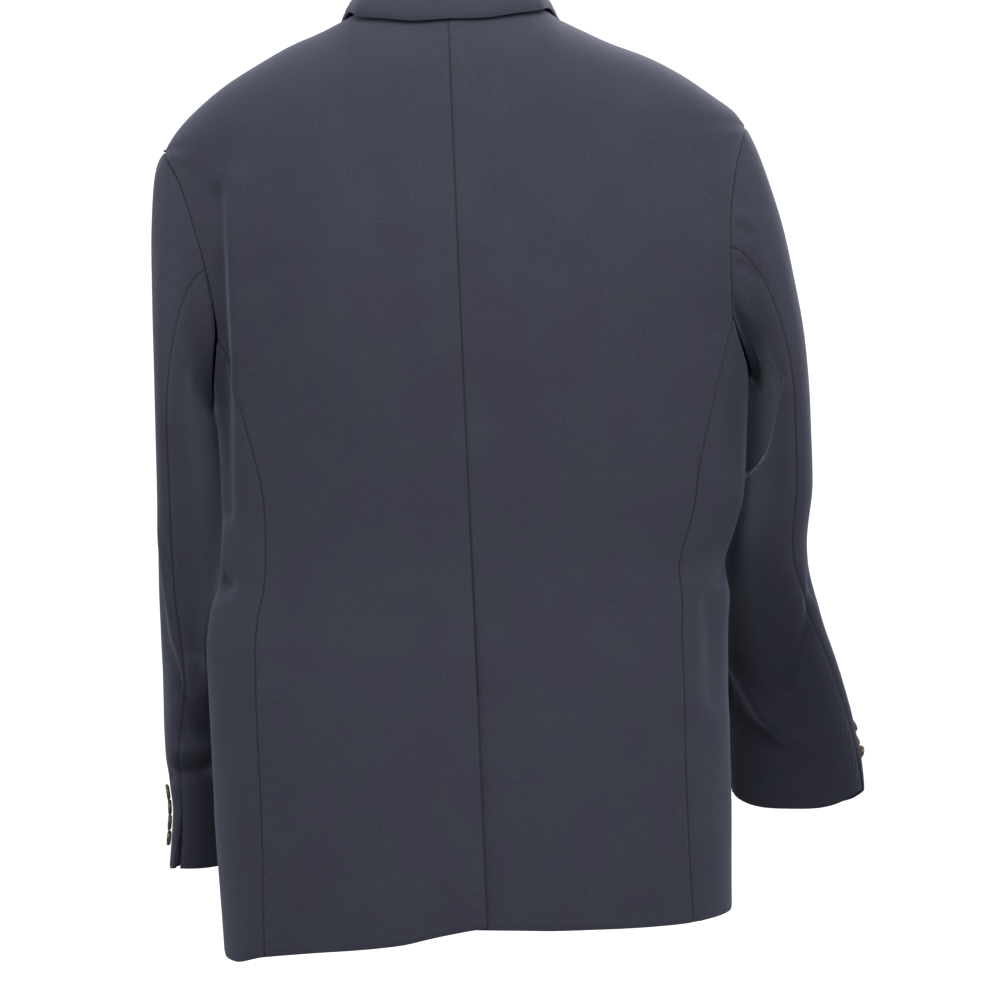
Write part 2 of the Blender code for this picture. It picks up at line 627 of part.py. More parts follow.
def lapel(side, finish):
    """The turned-out part of a front, from the gorge to the break, lying clear of the front."""

    def surface(u, v):
        z_roll = follow(LAPEL["way"], LAPEL["roll_z"], v)
        z_edge = follow(LAPEL["way"], LAPEL["edge_z"], v)
        width = follow(LAPEL["way"], LAPEL["width"], v)
        z = z_roll + (z_edge - z_roll) * u
        x = side * (-front_edge_x(z_roll) + 0.0006 + width * u)
        points, normal = on_panel(x, z, "front")
        points = lapped(side, points, normal)
        roll = 0.0035 * np.exp(-((width * u / 0.011) ** 2)) * ease((z_roll + 0.30) / 0.10)
        return points + normal * (CLOTH + LAPEL_CLEAR + roll)[..., None], normal

    return wall(side_name("lapel", side), surface, (8, 14), finish)


# Collar
def neck_z(x):
    """Height of the back's neck seam."""
    neck = np.clip(np.abs(x) / NECK_HALF_WIDTH, 0, 1)
    return NAPE_Z + (ridge_z(np.sign(x) * NECK_HALF_WIDTH) - NAPE_Z) * neck**2


def gorge_z(x):
    """Height of the line on which a collar's front end meets the lapel."""
    top_x = -front_edge_x(LAPEL["roll_z"][0])
    slope = (LAPEL["edge_z"][0] - LAPEL["roll_z"][0]) / LAPEL["width"][0]
    return LAPEL["roll_z"][0] + slope * (np.abs(x) - top_x) + 0.0012


def below_ridge(x, down, part):
    """Outer point and normal of the back or front at x, at a distance down from the ridge."""
    column = column_of(x, ridge_z(x), part)
    for _ in range(4):
        column = column_of(x, height_on(column, down, part), part)
    return panel_surface(column, down, part)


def on_shoulder(x, reach):
    """Outer point and normal at x, a signed distance in front of the ridge."""
    back, back_normal = below_ridge(x, np.abs(reach), "back")
    front, front_normal = below_ridge(x, np.abs(reach), "front")
    behind = (reach < 0)[..., None]
    return np.where(behind, back, front), np.where(behind, back_normal, front_normal)


def collar(finish):
    """The collar in one piece: up the stand, over the fold and down the fall, flat towards the notch."""

    def path(u, v):
        side = np.where(u < 0.5, -1.0, 1.0)
        way = np.abs(2 * u - 1)
        row = {name: follow(COLLAR["way"], COLLAR[name], way) for name in COLLAR_COLUMNS[1:]}
        seam_x, edge_x = side * np.maximum(row["seam_x"], 1e-5), side * np.maximum(row["edge_x"], 1e-5)
        neck_down = down_to(neck_z(seam_x), column_of(seam_x, neck_z(seam_x), "back"), "back")
        gorge_down = down_to(gorge_z(seam_x), column_of(seam_x, gorge_z(seam_x), "front"), "front")
        gorge_down = np.minimum(row["seam_reach"], gorge_down)
        seam, seam_normal = on_shoulder(seam_x, np.where(way <= COLLAR_SHOULDER, -neck_down, gorge_down))
        edge, edge_normal = on_shoulder(edge_x, row["edge_reach"])
        seam = seam + np.array([0, 0, 1.0]) * (2 * SEAM_GAP)
        edge = edge + edge_normal * (CLOTH + LAPEL_CLEAR + 0.0014)
        out = unit((edge - seam) * [1, 1, 0] + edge_normal * [1e-3, 1e-3, 0])
        rise = row["stand"][..., None] * np.array([0, 0, 1.0]) - out * row["lean"][..., None]
        fold = seam + rise
        span = np.minimum(row["stand"] / 3, FOLD_RADIUS)[..., None]
        inner, outer = fold - out * span, fold + out * span
        folded_path = curve_through(seam, inner, outer, edge, out, span, v)
        flat_x = seam_x + (edge_x - seam_x) * v
        flat_down = np.maximum(gorge_down + (row["edge_reach"] - gorge_down) * v, 0.001)
        laid, laid_normal = below_ridge(flat_x, flat_down, "front")
        lift = CLOTH + LAPEL_CLEAR + 0.0004 + 0.010 * np.sin(math.pi * np.clip(v, 0, 1)) * row["stand"] / 0.029
        laid = laid + laid_normal * lift[..., None]
        flat = ease((way - 0.5) / 0.30)[..., None]
        return folded_path * (1 - flat) + laid * flat

    def surface(u, v):
        points = path(u, v)
        along = path(u + 1e-4, v) - path(u - 1e-4, v)
        up_path = path(u, v + 1e-4) - path(u, v - 1e-4)
        return points, unit(np.cross(up_path, along))

    return wall("collar", surface, (36, 16), finish)


def curve_through(seam, inner, outer, edge, out, span, v):
    """Points of the collar's section: stand, rounded fold and fall."""
    up = np.array([0, 0, 1.0])
    v = np.clip(v, 0, 1)[..., None]
    a = np.clip(v / 0.36, 0, 1)
    stand = seam + (inner - seam) * a
    turn = np.clip((v - 0.36) / 0.18, 0, 1) * math.pi
    fold = (inner + outer) / 2 - out * span * np.cos(turn) + up * span * np.sin(turn)
    b = np.clip((v - 0.54) / 0.46, 0, 1)
    handle = np.linalg.norm(edge - outer, axis=-1, keepdims=True) * 0.35
    near_edge = edge + up * handle
    fall = (1 - b) ** 3 * outer + 3 * (1 - b) ** 2 * b * (outer - up * handle)
    fall = fall + 3 * (1 - b) * b**2 * near_edge + b**3 * edge
    return np.where(v < 0.36, stand, np.where(v < 0.54, fold, fall))


# Sleeves
def armhole_point(side, angle):
    """Outer point, normal and inward direction of the armhole's edge, the angle as on the sleeve's rings."""
    z = ARMHOLE_Z + ARMHOLE_HALF_HEIGHT * np.sin(angle)
    part_is_back = np.cos(angle) >= 0
    low = z < SIDE_SEAM_TOP_Z
    found = []
    for part, sign in (("back", 1), ("front", -1)):
        column = side * np.ones_like(z)
        upper = panel_point(column, down_to(z, column, part), part)
        reach = armhole_reach(z, ARMHOLE_BACK if part == "back" else ARMHOLE_FRONT)
        depth = follow(TORSO["z"], TORSO[part], z)
        turn = np.arccos(np.clip(reach / depth, 0, 1) ** (SECTION_POWER / 2))
        lower = torso_point(side * (turn if part == "back" else math.pi - turn), z)
        found.append(np.where(low[..., None], lower, upper))
    return np.where(part_is_back[..., None], found[0], found[1])


def armhole_leave(side, angle):
    """The direction in which the sleeve's cloth leaves the armhole."""
    here = armhole_point(side, angle)
    along = unit(armhole_point(side, angle + 0.02) - armhole_point(side, angle - 0.02))
    top = np.clip(np.sin(angle), 0, 1)
    flat = np.stack([side + 0 * angle, 0.55 * np.cos(angle) * (1 - top), 0 * angle], -1)
    slope = np.stack([side * HEAD_OUT[side] + 0 * angle, 0 * angle, -HEAD_DOWN[side] + 0 * angle], -1)
    low = np.stack([side + 0 * angle, 0 * angle, -0.15 + 0 * angle], -1)
    weight_top = (top**1.5)[..., None]
    weight_low = (np.clip(-np.sin(angle), 0, 1) ** 1.5)[..., None]
    mixed = slope * weight_top + low * weight_low + flat * (1 - weight_top) * (1 - weight_low)
    mixed = mixed - along * np.sum(mixed * along, -1, keepdims=True) * (1 - top[..., None])
    return here, unit(mixed)


def ring_point(side, angle, z):
    """A point of the sleeve's tube at height z."""
    row = {name: follow(SLEEVES[side]["z"], SLEEVES[side][name], z) for name in SLEEVE_COLUMNS[1:]}
    turn = np.radians(row["turn"])
    back, out = np.cos(angle), np.sin(angle)
    power = 2 / RING_POWER
    back = np.sign(back) * np.abs(back) ** power * row["deep"]
    out = np.sign(out) * np.abs(out) ** power * row["thick"]
    x = row["x"] + side * (back * np.sin(turn) + out * np.cos(turn))
    y = row["y"] - back * np.cos(turn) + out * np.sin(turn)
    return np.stack([x, y, z + 0 * x], -1)


def cuff_z(side, angle):
    """Height of the cuff's edge round the sleeve."""
    back, front = np.clip(np.cos(angle), 0, 1) ** 3, np.clip(-np.cos(angle), 0, 1) ** 3
    return SLEEVES[side]["z"][0] + CUFF_RISE_BACK[side] * back + CUFF_RISE_FRONT[side] * front


def sleeve_point(side, angle, v):
    """A point of a sleeve, from the armhole at v 0 to the cuff at v 1."""
    low_z = cuff_z(side, angle)
    start, leave = armhole_leave(side, angle)
    start = start + leave * SEAM_GAP
    end = ring_point(side, angle, SLEEVE_HEAD_Z + 0 * angle)
    reach = np.linalg.norm(end - start, axis=-1, keepdims=True)
    first = start + leave * np.minimum(reach * 0.42, HEAD_START[side])
    below = ring_point(side, angle, SLEEVE_HEAD_Z - 0.01 + 0 * angle)
    second = end + unit(end - below) * reach * 0.42
    t = np.clip(v / SLEEVE_HEAD_SHARE, 0, 1)[..., None]
    head = (1 - t) ** 3 * start + 3 * (1 - t) ** 2 * t * first + 3 * (1 - t) * t**2 * second + t**3 * end
    share = (v - SLEEVE_HEAD_SHARE) / (1 - SLEEVE_HEAD_SHARE)
    tube = ring_point(side, angle, SLEEVE_HEAD_Z + (low_z - SLEEVE_HEAD_Z) * share)
    return np.where((v < SLEEVE_HEAD_SHARE)[..., None], head, tube)


def sleeve_surface(side, angle, v):
    """Outer point and normal of a sleeve."""
    points = sleeve_point(side, angle, v)
    round_it = sleeve_point(side, angle + 4e-3, v) - sleeve_point(side, angle - 4e-3, v)
    down = sleeve_point(side, angle, v + 4e-3) - sleeve_point(side, angle, np.maximum(v - 4e-3, 0))
    normal = unit(np.cross(down, round_it)) * side
    fade = ease(np.sum(normal * [0, -1, 0], -1) / 0.3)
    return draped(points, normal, SLEEVE_FOLDS[side], fade), normal


def armhole_angles(side):
    """Angles of the armhole's corners, from the top of the hindarm seam over the shoulder and back to it."""
    row = np.arange(ARMHOLE_ROW + 1.0)
    edge = side * (1 - COLUMN_GAP) + 0 * row
    rows = {}
    for part in ("back", "front"):
        z = height_on(edge, panel_rows(row, edge, SEAM_GAP / 2, 0.8, part), part)
        rows[part] = np.arcsin(np.clip((z - ARMHOLE_Z) / ARMHOLE_HALF_HEIGHT, -1, 1))
        rows[part][0] = math.pi / 2
    share = np.arange(1, SIDE_CELLS) / SIDE_CELLS
    low_z = side_top(side, share)
    low_y = torso_point(side * side_angle(low_z, share), low_z)[..., 1]
    loop = np.where(low_y < 0, ARMHOLE_BACK, ARMHOLE_FRONT)
    under = np.arctan2((low_z - ARMHOLE_Z) / ARMHOLE_HALF_HEIGHT, -low_y / loop) + 2 * math.pi
    up_back = rows["back"][: HINDARM_ROW + 1][::-1]
    down_front = math.pi - rows["front"][1:]
    rest = rows["back"][HINDARM_ROW:][::-1] + 2 * math.pi
    return np.concatenate([up_back, down_front, under[::-1], rest])


def sleeve_piece(side, name, finish):
    """One of a sleeve's two pieces; the hindarm seam between them is open at the cuff."""
    around = armhole_angles(side)
    top_cells = HINDARM_ROW + FOREARM_ROW
    is_top = name == "top_sleeve"
    corners = around[: top_cells + 1] if is_top else around[top_cells:]
    cells = len(corners) - 1
    first, last = (0, FOREARM_SEAM) if is_top else (FOREARM_SEAM, 360)

    def surface(u, v):
        share = (v - SLEEVE_HEAD_SHARE) / (1 - SLEEVE_HEAD_SHARE)
        width = 0.0002 / follow((0, 1), (0.075, 0.055), v)
        opened = CUFF_VENT_OPEN[side] * ease((share - 1 + CUFF_VENT) / CUFF_VENT)
        start = math.radians(first) + width + (opened if is_top else 0)
        end = math.radians(last) - width - (0 if is_top else opened)
        even = start + (end - start) * u
        fitted = np.interp(u, np.arange(cells + 1) / cells, corners)
        fitted = fitted + width * (1 - 2 * u) * ((u == 0) | (u == 1))
        angle = fitted + (even - fitted) * ease(v / SLEEVE_HEAD_SHARE)
        return sleeve_surface(side, angle, v)

    return wall(side_name(name, side), surface, (cells, 28), finish)


# Buttons
def button(name, middle, normal, radius, thick, finish, clear=SEAM_GAP, tilt=0.0):
    """A disc with a chamfered rim that lies on a panel's point, or stands off it on its lower edge."""
    shape = bmesh.new()
    bmesh.ops.create_cone(
        shape, cap_ends=True, segments=18, radius1=radius, radius2=radius * 0.93, depth=thick
    )
    lift = thick / 2 + clear + 0.77 * radius * math.sin(tilt)  # the cloth curves away below it
    up = unit(np.array([0, 0, 1.0]) - np.asarray(normal) * normal[2])
    faced = Vector(np.asarray(normal) * math.cos(tilt) - up * math.sin(tilt))
    turn = Vector((0, 0, 1)).rotation_difference(faced).to_matrix().to_4x4()
    place = Matrix.Translation(Vector(middle) + Vector(normal) * lift) @ turn
    bmesh.ops.transform(shape, matrix=place, verts=shape.verts)
    made = add_object(name, shape, finish)
    made.data.shade_flat()
    return made


def front_buttons(finish):
    for i, z in enumerate(BUTTON_HEIGHTS):
        points, normal = on_panel(np.array([1e-5]), np.array([z]), "front")
        button(f"front_button_{i + 1}", points[0], normal[0], BUTTON_RADIUS, BUTTON_THICK, finish)


def cuff_buttons(side, finish):
    """A row of small buttons beside the open hindarm seam."""
    length = SLEEVE_HEAD_Z - SLEEVES[side]["z"][0]
    for i in range(CUFF_BUTTONS):
        up = CUFF_BUTTON_FIRST + i * CUFF_BUTTON_STEP
        v = np.array([1 - (1 - SLEEVE_HEAD_SHARE) * up / length])
        points, normal = sleeve_surface(side, np.array([CUFF_BUTTON_ANGLE[side]]), v)
        tilt = HANGING_TILT if HANGING_BUTTON == (side, i) else 0.0
        name = side_name("cuff_button", side) + f"_{i + 1}"
        size = (CUFF_BUTTON_RADIUS, CUFF_BUTTON_THICK)
        button(name, points[0], normal[0], *size, finish, CUFF_BUTTON_CLEAR, tilt)


def build():
    for old in list(bpy.data.objects):
        bpy.data.objects.remove(old)
    bpy.context.scene.collection.children.link(bpy.data.collections.new("blazer"))
    cloth = material("navy_cloth", (0.045, 0.048, 0.072), 0.85)
    horn = material("button_horn", (0.12, 0.10, 0.085), 0.35)
    for side in (LEFT, RIGHT):
        back_panel(side, cloth)
        side_panel(side, cloth)
        front_panel(side, cloth)
        lapel(side, cloth)
        sleeve_piece(side, "top_sleeve", cloth)
        sleeve_piece(side, "under_sleeve", cloth)
        cuff_buttons(side, horn)
    collar(cloth)
    front_buttons(horn)


build()
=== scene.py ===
"""A hollow single-breasted blazer in fine navy worsted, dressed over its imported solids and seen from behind.

Every piece of cloth follows the form of its solid: the form is worked out again here from the jacket's own
sizes, sampled finely, creased, pressed at its seams and given a rounded edge. Metres; +X is the wearer's
right, +Y the front and +Z up. The origin is the centre of the neck opening.
"""

from __future__ import annotations

import logging
import math
from dataclasses import dataclass, field
from enum import Enum
from typing import Callable

import bmesh
import bpy
import numpy as np
from mathutils import Matrix, Vector
from mathutils.bvhtree import BVHTree

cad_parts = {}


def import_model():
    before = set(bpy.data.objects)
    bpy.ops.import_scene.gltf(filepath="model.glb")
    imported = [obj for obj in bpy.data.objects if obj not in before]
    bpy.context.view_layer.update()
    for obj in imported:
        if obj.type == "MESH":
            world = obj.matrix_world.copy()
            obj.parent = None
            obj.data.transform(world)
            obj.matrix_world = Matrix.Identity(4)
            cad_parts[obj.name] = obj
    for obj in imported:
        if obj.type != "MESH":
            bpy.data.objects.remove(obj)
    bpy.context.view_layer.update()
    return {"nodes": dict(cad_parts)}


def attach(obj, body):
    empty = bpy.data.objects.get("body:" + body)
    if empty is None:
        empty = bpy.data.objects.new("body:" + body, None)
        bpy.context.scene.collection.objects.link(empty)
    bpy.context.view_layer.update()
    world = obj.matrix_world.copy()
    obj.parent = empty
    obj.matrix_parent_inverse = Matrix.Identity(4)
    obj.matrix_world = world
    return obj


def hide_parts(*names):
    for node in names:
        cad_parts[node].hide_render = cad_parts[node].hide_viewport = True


log = logging.getLogger("blazer")

Socket = bpy.types.NodeSocket
Material = bpy.types.Material
Object = bpy.types.Object
Shape = bmesh.types.BMesh

Array = np.ndarray
Triple = tuple[float, float, float]
Laid = tuple[Array, Array]
Surface = Callable[[Array, Array], Laid]
UP = np.array([0.0, 0.0, 1.0])


class Side(Enum):
    """The wearer's left lies at -X and the right at +X."""

    LEFT = -1.0
    RIGHT = 1.0

    def name_of(self, piece: str) -> str:
        """Name of a piece on this side."""
        return f"{piece}_{self.name.lower()}"


class Half(Enum):
    """The two halves of the torso, behind and in front of the shoulder ridge."""

    BACK = "back"
    FRONT = "front"

    @property
    def sign(self) -> float:
        """Which way along Y the half faces."""
        return -1.0 if self is Half.BACK else 1.0


def follow(knots: Array, values: Array, at: Array) -> Array:
    """Values on a smooth curve through the knots that never overshoots them.

    Args:
        knots: rising places of the known values.
        values: the known values.
        at: places to read.

    Returns:
        One value for each place.
    """
    at = np.clip(at, knots[0], knots[-1])
    step = np.diff(knots)
    rise = np.diff(values) / step
    slope = np.empty_like(values)
    slope[0], slope[-1] = rise[0], rise[-1]
    same_way = rise[:-1] * rise[1:] > 0
    mean = 2 * rise[:-1] * rise[1:] / np.where(same_way, rise[:-1] + rise[1:], 1)
    slope[1:-1] = np.where(same_way, mean, 0)
    i = np.clip(np.searchsorted(knots, at) - 1, 0, len(step) - 1)
    t = (at - knots[i]) / step[i]
    return (
        (1 + 2 * t) * (1 - t) ** 2 * values[i]
        + t * (1 - t) ** 2 * step[i] * slope[i]
        + t * t * (3 - 2 * t) * values[i + 1]
        + t * t * (t - 1) * step[i] * slope[i + 1]
    )


def ease(t: Array) -> Array:
    """A smooth step from 0 at 0 to 1 at 1."""
    t = np.clip(t, 0, 1)
    return t * t * (3 - 2 * t)


def turned(amount: Array, span: tuple[float, float]) -> Array:
    """Share from 0 to 1 of a surface's turn to one side; the span is where it starts and how wide it is."""
    return ease((amount - span[0]) / span[1])


def unit(vectors: Array) -> Array:
    """Vectors along the last axis, brought to length 1."""
    return vectors / np.maximum(np.linalg.norm(vectors, axis=-1, keepdims=True), 1e-12)


def points_of(*parts: Array) -> Array:
    """Stacks x, y and z into points."""
    return np.stack(np.broadcast_arrays(*parts), -1).astype(float)


@dataclass(frozen=True)
class Table:
    """Measurements in named columns, read along the first column on a smooth curve."""

    columns: tuple[str, ...]
    rows: tuple[tuple[float, ...], ...]

    def column(self, name: str) -> Array:
        """All values of one column."""
        place = self.columns.index(name)
        return np.array([row[place] for row in self.rows], float)

    def at(self, name: str, where: Array) -> Array:
        """A column's value at places of the first column."""
        return follow(self.column(self.columns[0]), self.column(name), where)


@dataclass(frozen=True)
class FoldTable:
    """Soft ridges and troughs, each from one point of a view to another.

    The columns are the two ends in the view's two axes, the half-width, and how far the cloth stands out.
    `ends` is the share of a fold's length over which it fades at each free end.
    """

    rows: tuple[tuple[float, ...], ...]
    ends: float = 0.0

    def goes_on(self, point: tuple[float, ...]) -> bool:
        """Whether two folds share this end, so that they make one line."""
        return sum(point in (row[:2], row[2:4]) for row in self.rows) > 1

    def lift(self, across: Array, height: Array) -> Array:
        """How far the highest ridge and the deepest trough lift the cloth at each place of the view.

        Args:
            across: places along the view's first axis.
            height: places along its second axis.

        Returns:
            Metres outwards at each place.
        """
        high = np.zeros(np.broadcast(across, height).shape)
        low = high.copy()
        for top_a, top_z, low_a, low_z, half_width, height_out in self.rows:
            run_a, run_z = low_a - top_a, low_z - top_z
            length = math.hypot(run_a, run_z)
            along = ((across - top_a) * run_a + (height - top_z) * run_z) / length**2
            nearest = np.clip(along, 0, 1)
            off_a, off_z = across - top_a - nearest * run_a, height - top_z - nearest * run_z
            shape = np.exp(-((np.hypot(off_a, off_z) / half_width) ** 2))
            if self.ends and not self.goes_on((top_a, top_z)):
                shape = shape * ease(nearest / self.ends)
            if self.ends and not self.goes_on((low_a, low_z)):
                shape = shape * ease((1 - nearest) / self.ends)
            high, low = np.maximum(high, height_out * shape), np.minimum(low, height_out * shape)
        return high + low


@dataclass(frozen=True)
class Tuck:
    """A facet that falls away below a slanted fold line, as far as a rim that laps over it."""

    start: tuple[float, float]
    end: tuple[float, float]
    slope: float
    depth: float
    rim: Table
    soft: float = 0.0025
    rim_width: float = 0.0035

    def lift(self, across: Array, height: Array) -> Array:
        """How far the tuck sets the cloth back at each place of the view, as a value below 0.

        Args:
            across: places along the view's first axis.
            height: places along its second axis.

        Returns:
            Metres outwards at each place, none above 0.
        """
        run_a, run_z = self.end[0] - self.start[0], self.end[1] - self.start[1]
        length = math.hypot(run_a, run_z)
        off = ((across - self.start[0]) * run_z - (height - self.start[1]) * run_a) / length
        fall = self.slope * (off + np.sqrt(off**2 + self.soft**2)) / 2
        fall = self.depth * np.tanh(fall / self.depth)
        inside = ease((self.rim.at("x", height) - across) / self.rim_width)
        return -fall * inside


def ripple(points: Array, pitch: float, seed: float) -> Array:
    """A gentle unevenness from -1 to 1, made of a few slanted waves about one pitch long.

    Args:
        points: places in space.
        pitch: length of a wave.
        seed: picks the pattern.

    Returns:
        One value for each place.
    """
    total = np.zeros(points.shape[:-1])
    for i in range(6):
        lean = np.array(
            [math.sin(seed + 2.4 * i), math.cos(seed * 1.7 + 1.9 * i), math.sin(seed * 0.6 + 3.1 * i)]
        )
        pace = 2 * math.pi / (pitch * (0.75 + 0.13 * i))
        total += np.sin(points @ lean * pace + seed * (i + 1))
    return total / 6


@dataclass(frozen=True)
class Cloth:
    """How a wall of this cloth is made up."""

    thick: float = 0.0022
    seam_gap: float = 0.00001
    edge_round: float = 0.0009
    seam_dip: float = 0.0005
    seam_reach: float = 0.0026
    seam_far: float = 0.01
    pucker: float = 0.00022
    pucker_pitch: float = 0.0145
    pucker_reach: float = 0.012
    pucker_drift: float = 0.05
    unevenness: float = 0.00045
    uneven_pitch: float = 0.085
    edge_hold: float = 0.15
    edge_way: float = 0.004
    rim_degrees: float = 55.0
    flat_slack: float = 1.002
    shoulder_fade: float = 0.03


CLOTH = Cloth()


@dataclass
class CutPiece:
    """One piece of cloth: a fine grid on its surface, creased, thickened and rounded at its edges."""

    node: str
    surface: Surface
    cells: tuple[int, int]
    relief: Callable[[Array, Array], Array] | None = None
    crowded: float = 0.72
    sewn: tuple[bool, bool, bool, bool] = (True, True, True, False)
    seed: float = 1.0
    from_seam: Array = field(default_factory=lambda: np.zeros((1, 1)), init=False)
    flat: tuple[float, float] = field(default=(0.0, 0.0), init=False)
    area: float = field(default=0.0, init=False)

    def spread(self, count: int) -> Array:
        """Places from 0 to 1 that lie closer together at both ends."""
        t = np.linspace(0, 1, count + 1)
        return t - self.crowded * np.sin(2 * math.pi * t) / (2 * math.pi)

    def pressed(self, points: Array, normal: Array) -> tuple[Array, Array, Array]:
        """Works the seams and the cloth's unevenness into the surface.

        Args:
            points: outer points of the grid, one row for each height.
            normal: unit normals of the points.

        Returns:
            The points after pressing, and each point's distance across and down the cloth.
        """
        step_u = np.linalg.norm(np.diff(points, axis=1), axis=-1)
        step_v = np.linalg.norm(np.diff(points, axis=0), axis=-1)
        across = np.pad(np.cumsum(step_u, axis=1), ((0, 0), (1, 0)))
        down = np.pad(np.cumsum(step_v, axis=0), ((1, 0), (0, 0)))
        self.flat = (float(across[:, -1].max()), float(down[-1].max()))
        cross = np.cross(points[1:, 1:] - points[:-1, :-1], points[1:, :-1] - points[:-1, 1:])
        self.area = float(np.linalg.norm(cross, axis=-1).sum() / 2)
        borders = (across, across[:, -1:] - across, down, down[-1:] - down)
        self.from_seam = np.full_like(across, CLOTH.seam_far)
        for distance, is_sewn in zip(borders, self.sewn):
            self.from_seam = np.minimum(self.from_seam, distance if is_sewn else CLOTH.seam_far)
        moved = CLOTH.unevenness * ripple(points, CLOTH.uneven_pitch, self.seed)
        dip = np.zeros_like(moved)
        for distance in borders:
            dip = dip + CLOTH.seam_dip * np.exp(-((distance / CLOTH.seam_reach) ** 2))
            along = down if distance is borders[0] or distance is borders[1] else across
            drift = 3 * np.sin(along / CLOTH.pucker_drift + self.seed)
            wave = np.sin(2 * math.pi * along / CLOTH.pucker_pitch + drift)
            moved = moved + CLOTH.pucker * wave * np.exp(-((distance / CLOTH.pucker_reach) ** 2))
        still = np.ones_like(moved)
        for distance in borders:
            still = still * (CLOTH.edge_hold + (1 - CLOTH.edge_hold) * ease(distance / CLOTH.edge_way))
        if self.relief is not None:
            moved = moved + self.relief(points, normal)
        centre = across - across[:, -1:] / 2
        return points + normal * (moved * still - dip)[..., None], centre, down

    def build(self, finish: Material) -> Object:
        """Makes the piece and lets it stand for its solid.

        Args:
            finish: the cloth's material.

        Returns:
            The finished object, which rides on the root body.
        """
        columns, rows = self.cells
        u, v = np.meshgrid(self.spread(columns), self.spread(rows))
        points, normal = self.surface(u, v)
        outer, across, down = self.pressed(points, normal)
        inner = outer - normal * CLOTH.thick
        shape = bmesh.new()
        bmesh.ops.create_grid(shape, x_segments=columns, y_segments=rows, size=0.5)
        place = np.array([vert.co[:2] for vert in shape.verts]) + 0.5
        column = np.rint(place[:, 0] * columns).astype(int)
        row = np.rint(place[:, 1] * rows).astype(int)
        number = shape.verts.layers.int.new("number")
        along = shape.verts.layers.float.new("across")
        length = shape.verts.layers.float.new("down")
        # Distance to the nearest sewn seam, which the cloth's material reads to paint shade beside the seam.
        to_seam = shape.verts.layers.float.new("from_seam")
        outside, inside = outer[row, column], inner[row, column]
        flat_u, flat_v, seam_way = across[row, column], down[row, column], self.from_seam[row, column]
        for i, vert in enumerate(shape.verts):
            vert[number], vert[along], vert[length], vert[to_seam] = i, flat_u[i], flat_v[i], seam_way[i]
            vert.co = outside[i]
        made = bmesh.ops.extrude_face_region(shape, geom=shape.faces[:], use_keep_orig=True)
        for vert in made["geom"]:
            if isinstance(vert, bmesh.types.BMVert):
                vert.co = inside[vert[number]]
        self.round_edges(shape)
        bmesh.ops.recalc_face_normals(shape, faces=shape.faces)
        if shape.calc_volume(signed=True) < 0:
            bmesh.ops.reverse_faces(shape, faces=shape.faces)
        made = finish_object(f"{self.node}_cloth", shape, finish)
        lay_flat(made.data)
        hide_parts(self.node)
        width, long = (CLOTH.flat_slack * size for size in self.flat)
        shown = min(self.area, width * long)
        log.info("%s: cut %.3f x %.3f m, %.4f square metres", made.name, width, long, self.area)
        return made

    def round_edges(self, shape: Shape) -> None:
        """Rounds both rims of the wall, as the turned edge of a sewn piece is round.

        Args:
            shape: the wall's bmesh.
        """
        rims = [edge for edge in shape.edges if edge.calc_face_angle(0) > math.radians(CLOTH.rim_degrees)]
        bmesh.ops.bevel(
            shape,
            geom=rims,
            offset=CLOTH.edge_round,
            affect="EDGES",
            segments=2,
            profile=0.5,
            material=-1,
            clamp_overlap=True,
        )


def finish_object(name: str, shape: Shape, finish: Material) -> Object:
    """Turns a bmesh into a smooth, shown object that rides on the root body.

    Args:
        name: the new object's name.
        shape: the bmesh, which is freed.
        finish: the material.

    Returns:
        The linked object.
    """
    mesh = bpy.data.meshes.new(name)
    shape.to_mesh(mesh)
    shape.free()
    mesh.shade_smooth()
    mesh.materials.append(finish)
    made = bpy.data.objects.new(name, mesh)
    bpy.context.scene.collection.objects.link(made)
    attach(made, "root")
    return made


def lay_flat(mesh: bpy.types.Mesh) -> None:
    """Gives the mesh a UV map in metres of cloth, across and down its grain.

    Args:
        mesh: a cloth mesh with its across and down attributes.
    """
    corners = np.empty(len(mesh.loops), np.int32)
    mesh.loops.foreach_get("vertex_index", corners)
    places = []
    for name in ("across", "down"):
        values = np.empty(len(mesh.vertices), np.float32)
        mesh.attributes[name].data.foreach_get("value", values)
        places.append(values[corners])
    grain = mesh.uv_layers.new(name="grain")
    grain.data.foreach_set("uv", np.stack(places, -1).ravel())


